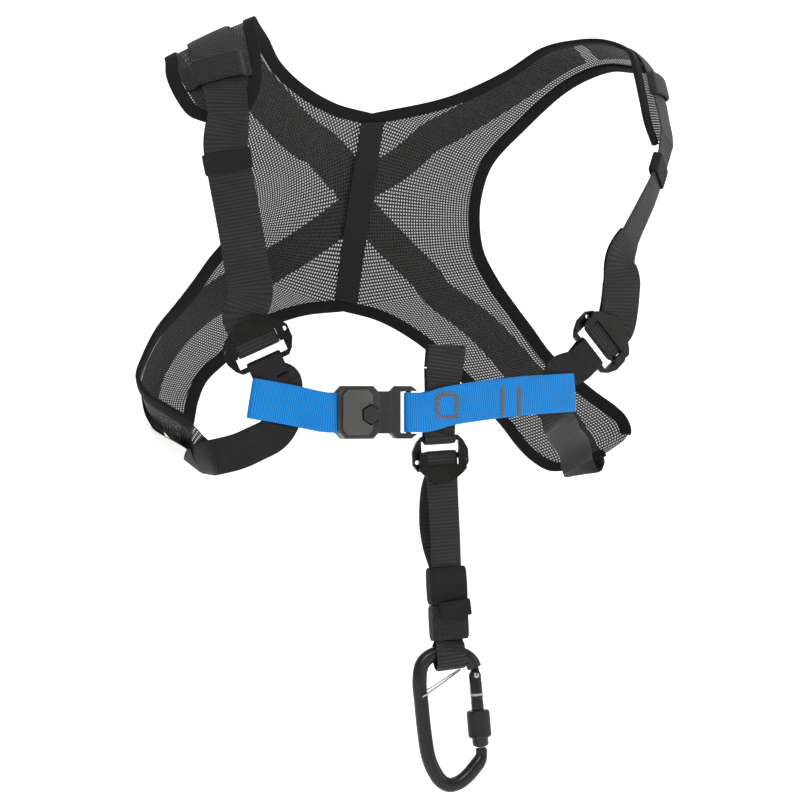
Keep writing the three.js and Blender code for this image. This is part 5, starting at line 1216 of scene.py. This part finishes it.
def rounded_copy(name, node, finish, edge_mm, segments=3, body="harness"):
    """Copy of a hard piece with its loose triangles joined, flats made whole, and a bevel on its edges"""
    mesh = frame["nodes"][node].data.copy()
    mesh.name = name
    work = bmesh.new()
    work.from_mesh(mesh)
    bmesh.ops.remove_doubles(work, verts=work.verts, dist=2e-6)
    bmesh.ops.dissolve_limit(work, angle_limit=radians(1.5), verts=work.verts, edges=work.edges)
    work.to_mesh(mesh)
    work.free()
    mesh.materials.clear()
    mesh.materials.append(finish)
    piece = bpy.data.objects.new(name, mesh)
    bpy.context.collection.objects.link(piece)
    round_off = piece.modifiers.new("rounded edges", "BEVEL")
    round_off.width = edge_mm * MM
    round_off.segments = segments
    round_off.limit_method = "ANGLE"
    round_off.angle_limit = radians(34)
    mesh.shade_smooth()
    mesh.set_sharp_from_angle(angle=radians(32))
    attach(piece, body)
    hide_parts(node)
    return piece


for prefix, suffix in (("buckle", "_right"), ("buckle", "_left"), ("drop", "")):
    rounded_copy(f"{prefix}_pressed_frame{suffix}", f"{prefix}_frame{suffix}", PLATED, 0.7)
    rounded_copy(f"{prefix}_pressed_plate{suffix}", f"{prefix}_plate{suffix}", PLATED, 0.55)
shell = rounded_copy("clasp_shell", "clasp_housing", CLASP_PLASTIC, 0.6)
shell.data.materials.append(CLASP_FACE)
for flat in shell.data.polygons:
    out = np.array(flat.center) / MM - clasp["o"]
    if np.dot(out, clasp["z"]) > CLASP_FACE_HEIGHT and np.dot(np.array(flat.normal), clasp["z"]) > 0.9:
        flat.material_index = 1
rounded_copy("clasp_push_button", "clasp_button", DARK_PLASTIC, 0.5)
rounded_copy("clasp_ring", "clasp_hook", DARK_PLASTIC, 0.9)

# Carabiner, in its own frame: x to the gate, y up, z out of the front
turn = radians(-12)
carabiner = local_frame(
    drop_top + vec(3.5, 1.7, -0.987 * DROP_LENGTH),
    vec(cos(turn), sin(turn), 0.02),
    facing(-12),
)
ACROSS = CARABINER_WIDTH - 2 * ROD_RADIUS
ALONG = CARABINER_LENGTH - 2 * ROD_RADIUS
PIVOT = vec(0.509 * ACROSS, -0.183 * ALONG, 0)
GATE_FOOT = vec(0.584 * ACROSS, -0.723 * ALONG, 0)
GATE_LENGTH = np.linalg.norm(GATE_FOOT - PIVOT)
gate_axis = unit(GATE_FOOT - PIVOT)
NOSE_RADIUS = 4.3
WIRE_REACH = ROD_RADIUS + WIRE_RADIUS + GATE_GAP
WIRE_FOOT = vec(-0.386 * ACROSS, -0.326 * ALONG, 0)
WIRE_TIP = vec(0.265 * ACROSS, -0.138 * ALONG, 0)
BAR_BENDS = {
    "nose_foot": (0.565, -0.822),
    "basket_right": (0.483, -0.873),
    "basket_low": (0.357, -0.937),
    "basket": (0.208, -0.986),
    "basket_left": (0.048, -1.0),
    "basket_corner": (-0.082, -0.967),
    "spine_foot": (-0.186, -0.896),
    "spine_low": (-0.277, -0.789),
    "spine": (-0.34, -0.591),
    "spine_high": (-0.381, -0.367),
    "spine_top": (-0.403, -0.214),
    "corner": (-0.357, -0.092),
    "shoulder": (-0.238, -0.033),
    "top": (0.0, 0.0),
    "top_right": (0.238, -0.015),
    "hinge_high": (0.385, -0.046),
    "hinge_turn": (0.467, -0.086),
    "hinge": (0.5, -0.125),
}


def in_carabiner(points):
    """Points of the carabiner's frame, in the shared one"""
    points = np.asarray(points, float)
    return place_in(carabiner, points[..., 0], points[..., 1], points[..., 2])


nose_top = GATE_FOOT + gate_axis * GATE_GAP * 1.6
corners = [nose_top, nose_top + gate_axis * 5]
corners += [vec(x * ACROSS, y * ALONG, 0) for x, y in BAR_BENDS.values()]
path = round_path(corners, 12)
share = np.linspace(0, 2 * (len(corners) - 1), len(path))
radii = mix(NOSE_RADIUS, ROD_RADIUS, np.clip((share - 2) / 3, 0, 1))
rounding = np.linspace(0, 1, 7)
end = np.sqrt(1 - (1 - rounding) ** 2)
radii[:7] *= 0.6 + 0.4 * end
path[:7] = path[0] + (path[6] - path[0]) * (rounding**2)[:, None]
tongue_turn = np.linspace(0, 2 * pi, 40, endpoint=False)
tongue_height = np.where(np.sin(tongue_turn) > 0, 8, 3.3)
tongue = np.stack([3.4 * np.cos(tongue_turn), tongue_height * np.sin(tongue_turn)], -1)
tongue_rings = np.stack([
    np.concatenate([tongue * size + PIVOT[:2], np.full((40, 1), z)], 1)
    for size, z in ((0.9, -1.6), (1, -1.3), (1, 1.3), (0.9, 1.6))
])
tongue_marks = np.stack(np.broadcast_arrays(np.arange(4)[:, None] * 1.0, tongue_turn[None]), -1)
body_shell = tube(in_carabiner(path), radii, carabiner["z"], 48)
add_piece("carabiner_bar", [body_shell, skin(in_carabiner(tongue_rings), tongue_marks)], ANODISED,
          ["carabiner_body"], "carabiner", 40)

rivet_frame = {"o": in_carabiner(PIVOT), "x": carabiner["x"], "y": carabiner["z"], "z": carabiner["y"]}
half = GATE_RADIUS + 0.3
rivet = [(0.02, -half - 0.3), (1.1, -half - 0.2), (1.9, -half + 0.2), (1.6, -half + 0.5), (1.6, half - 0.5),
         (1.9, half - 0.2), (1.1, half + 0.2), (0.02, half + 0.3)]
add_piece("gate_rivet", [turned(rivet, rivet_frame, 32)], STEEL,
          ["carabiner_rivet"], "carabiner", 40)

gate_frame = {"o": in_carabiner(PIVOT), "y": in_carabiner(PIVOT - gate_axis) - in_carabiner(PIVOT)}
gate_frame["z"] = carabiner["z"]
gate_frame["x"] = np.cross(gate_frame["y"], gate_frame["z"])
r = GATE_RADIUS
gate_profile = [(0.02, r), (r * 0.35, r * 0.95), (r * 0.7, r * 0.72), (r * 0.93, r * 0.35), (r, 0), (r, -17),
                (r - 0.25, -17.2), (r - 0.25, -18.4), (r, -18.6), (r, 1 - GATE_LENGTH),
                (r - 0.3, 0.3 - GATE_LENGTH), (r - 1, -GATE_LENGTH), (0.02, -GATE_LENGTH)]
gate = add_piece("screw_gate", [turned(gate_profile, gate_frame, 64)], ANODISED,
                 ["carabiner_gate"], "gate", 40)


def box_in(frame_, low, high):
    """Closed box between two corners of a frame"""
    x, y, z = (np.array([a, b]) for a, b in zip(low, high))
    ring = np.array([(x[0], z[0]), (x[1], z[0]), (x[1], z[1]), (x[0], z[1])])
    rings = np.stack([place_in(frame_, ring[:, 0], np.full(4, level), ring[:, 1]) for level in y])
    return skin(rings, np.zeros((2, 4, 2)))


def cut_from(piece, cutter_shell):
    """Boolean difference, kept in the piece's own mesh"""
    points, faces, _ = cutter_shell
    cutter_mesh = bpy.data.meshes.new("cutter")
    cutter_mesh.from_pydata((points * MM).tolist(), [], faces)
    cutter = bpy.data.objects.new("cutter", cutter_mesh)
    bpy.context.collection.objects.link(cutter)
    cut = piece.modifiers.new("slot", "BOOLEAN")
    cut.object = cutter
    cut.solver = "EXACT"
    graph = bpy.context.evaluated_depsgraph_get()
    whole = bpy.data.meshes.new_from_object(piece.evaluated_get(graph))
    piece.modifiers.clear()
    piece.data = whole
    bpy.data.objects.remove(cutter)


cut_from(gate, box_in(gate_frame, (-20, -5.5, -2.1), (20, 20, 2.1)))

marked = [(r - 0.1, -15.2), (r + 0.12, -15.2), (r + 0.12, -13.6), (r - 0.1, -13.6)]
add_piece("gate_marking", [turned(marked, gate_frame, 64)], MARKED, (), "gate", 40)

inner = r + 0.4
start = -GATE_LENGTH * 0.49
collar = start - SLEEVE_LENGTH
profile = [(inner, start), (SLEEVE_RADIUS - 1.1, start), (SLEEVE_RADIUS - 0.3, start - 0.5),
           (SLEEVE_RADIUS, start - 1.4)]
profile += [(SLEEVE_RADIUS, y) for y in np.linspace(start - 1.8, collar + 1.6, 40)]
profile += [(SLEEVE_RADIUS, collar + 1.2), (SLEEVE_RADIUS - 0.8, collar), (inner + 1.3, collar - 0.3),
            (inner + 1, collar - 0.8), (inner + 1, collar - 5.6), (inner + 0.7, collar - 6),
            (inner, collar - 6)]


def knurl(y, turn, r):
    """Diamond knurling: two crossed sets of grooves, where the sleeve is straight"""
    straight = (y < start - 1.6) & (y > collar + 1.4) & (r > SLEEVE_RADIUS - 0.01)
    pitch = 1.9
    first = np.abs(np.sin(14 * turn + pi * y / pitch / 1.6))
    second = np.abs(np.sin(14 * turn - pi * y / pitch / 1.6))
    return -0.45 * (1 - np.minimum(first, second) ** 0.6) * straight


add_piece("locking_sleeve", [turned(profile, gate_frame, 168, knurl)], ANODISED,
          ["carabiner_sleeve"], "lock_sleeve", 40)


def wire_leg(hand, share):
    """Place on one leg of the keeper, which closes in from the bar's side to the tip"""
    at = mix(WIRE_FOOT, WIRE_TIP, share)
    return vec(at[0], at[1], hand * mix(WIRE_REACH, 1.3, share**1.5))


def wire_foot(hand, depth):
    """Place in the bar where a leg is held"""
    return vec(WIRE_FOOT[0], WIRE_FOOT[1], hand * (WIRE_REACH - depth))


wire = [wire_foot(1, 2.6), wire_foot(1, 0.5), wire_leg(1, 0.03), wire_leg(1, 0.4), wire_leg(1, 0.97),
        WIRE_TIP,
        wire_leg(-1, 0.97), wire_leg(-1, 0.4), wire_leg(-1, 0.03), wire_foot(-1, 0.5), wire_foot(-1, 2.6)]
add_piece("wire_keeper", [tube(in_carabiner(round_path(wire, 10)), WIRE_RADIUS * np.ones(101),
                               carabiner["y"], 16)], STEEL, ["carabiner_wire"], "keeper_wire", 60)

# End loop of the drop, round the top of the carabiner, with both branches inside the pile sleeve
loop_bar = place_in(carabiner, 4, -0.3, 0)
lean = unit(vec(0.12, 0, -1))
HALF_LOOP = [(1.3, -30), (1.3, -16), (1.5, -9.7), (4.8, -6.1), (7.8, -0.5), (7.9, 4), (6.1, 9.2)]


def loop_knot(out, fall, hand):
    """Knot of a branch, out from the middle and down; it rolls round the bar at its foot"""
    way = unit(mix(forward, carabiner["z"], np.clip((fall + 10) / 7, 0, 1)))
    at = loop_bar + (lean if fall > 0 else downward) * fall + way * out * hand
    roll = np.clip((fall - 3) / 8, 0, 1) * 0.5 * pi
    return (at, way * hand * cos(roll) + lean * sin(roll), 0)


front = [loop_knot(out, fall, 1) for out, fall in HALF_LOOP]
back = [loop_knot(out, fall, -1) for out, fall in reversed(HALF_LOOP)]
foot_knot = (loop_bar + lean * 12.4, lean, 0)
end_run = free_run([*front, foot_knot, *back])
add_piece("end_loop", [strap(end_run, DROP_WIDTH - 2, WEBBING_WALL, 2.3)], WEBBING,
          ["drop_end_loop"])


# Studio: a pale floor that curves up into the wall behind, and broad soft lights

def studio_sheet():
    """Floor z = low out to y = far, then a quarter circle up into a wall"""
    low, far, bend, high = -600.0, 1500.0, 600.0, 3200.0
    a = np.linspace(0, pi / 2, 24)
    y = np.concatenate([[-4000, 0], far + bend * np.sin(a), [far + bend]])
    z = np.concatenate([[low, low], low + bend * (1 - np.cos(a)), [high]])
    x = np.linspace(-5000, 5000, 3)
    points = np.stack(np.broadcast_arrays(x[None], y[:, None], z[:, None]), -1)
    rows, cols = points.shape[:2]
    i, j = (k.ravel() for k in np.meshgrid(np.arange(rows - 1), np.arange(cols - 1), indexing="ij"))
    quads = np.stack([i * cols + j, i * cols + j + 1, (i + 1) * cols + j + 1, (i + 1) * cols + j], 1)
    mesh = bpy.data.meshes.new("studio")
    mesh.from_pydata((points.reshape(-1, 3) * MM).tolist(), [], quads.tolist())
    mesh.shade_smooth()
    mesh.materials.append(WALL)
    sheet = bpy.data.objects.new("studio", mesh)
    sheet.rotation_euler.z = CAMERA_TURN
    bpy.context.collection.objects.link(sheet)


studio_sheet()


def soft_light(name, at, size, watts, colour="#ffffff"):
    """Square area light aimed at the middle of the harness"""
    data = bpy.data.lights.new(name, "AREA")
    data.size = size
    data.energy = watts
    data.color = linear(colour)[:3]
    light = bpy.data.objects.new(name, data)
    light.location = at
    light.rotation_euler = (CAMERA_TARGET - Vector(at)).to_track_quat("-Z", "Y").to_euler()
    bpy.context.collection.objects.link(light)


soft_light("key", (-1.2, -1.6, 1.1), 0.7, 22)
soft_light("fill", (1.5, -1.3, 0.2), 0.8, 9)
soft_light("top", (0.1, 0.2, 1.9), 1.0, 12)

world = bpy.data.worlds.new("studio_air")
world.use_nodes = True
world.node_tree.nodes["Background"].inputs["Color"].default_value = linear("#ffffff")
world.node_tree.nodes["Background"].inputs["Strength"].default_value = 0.34
bpy.context.scene.world = world
bpy.context.scene.view_settings.view_transform = "Standard"
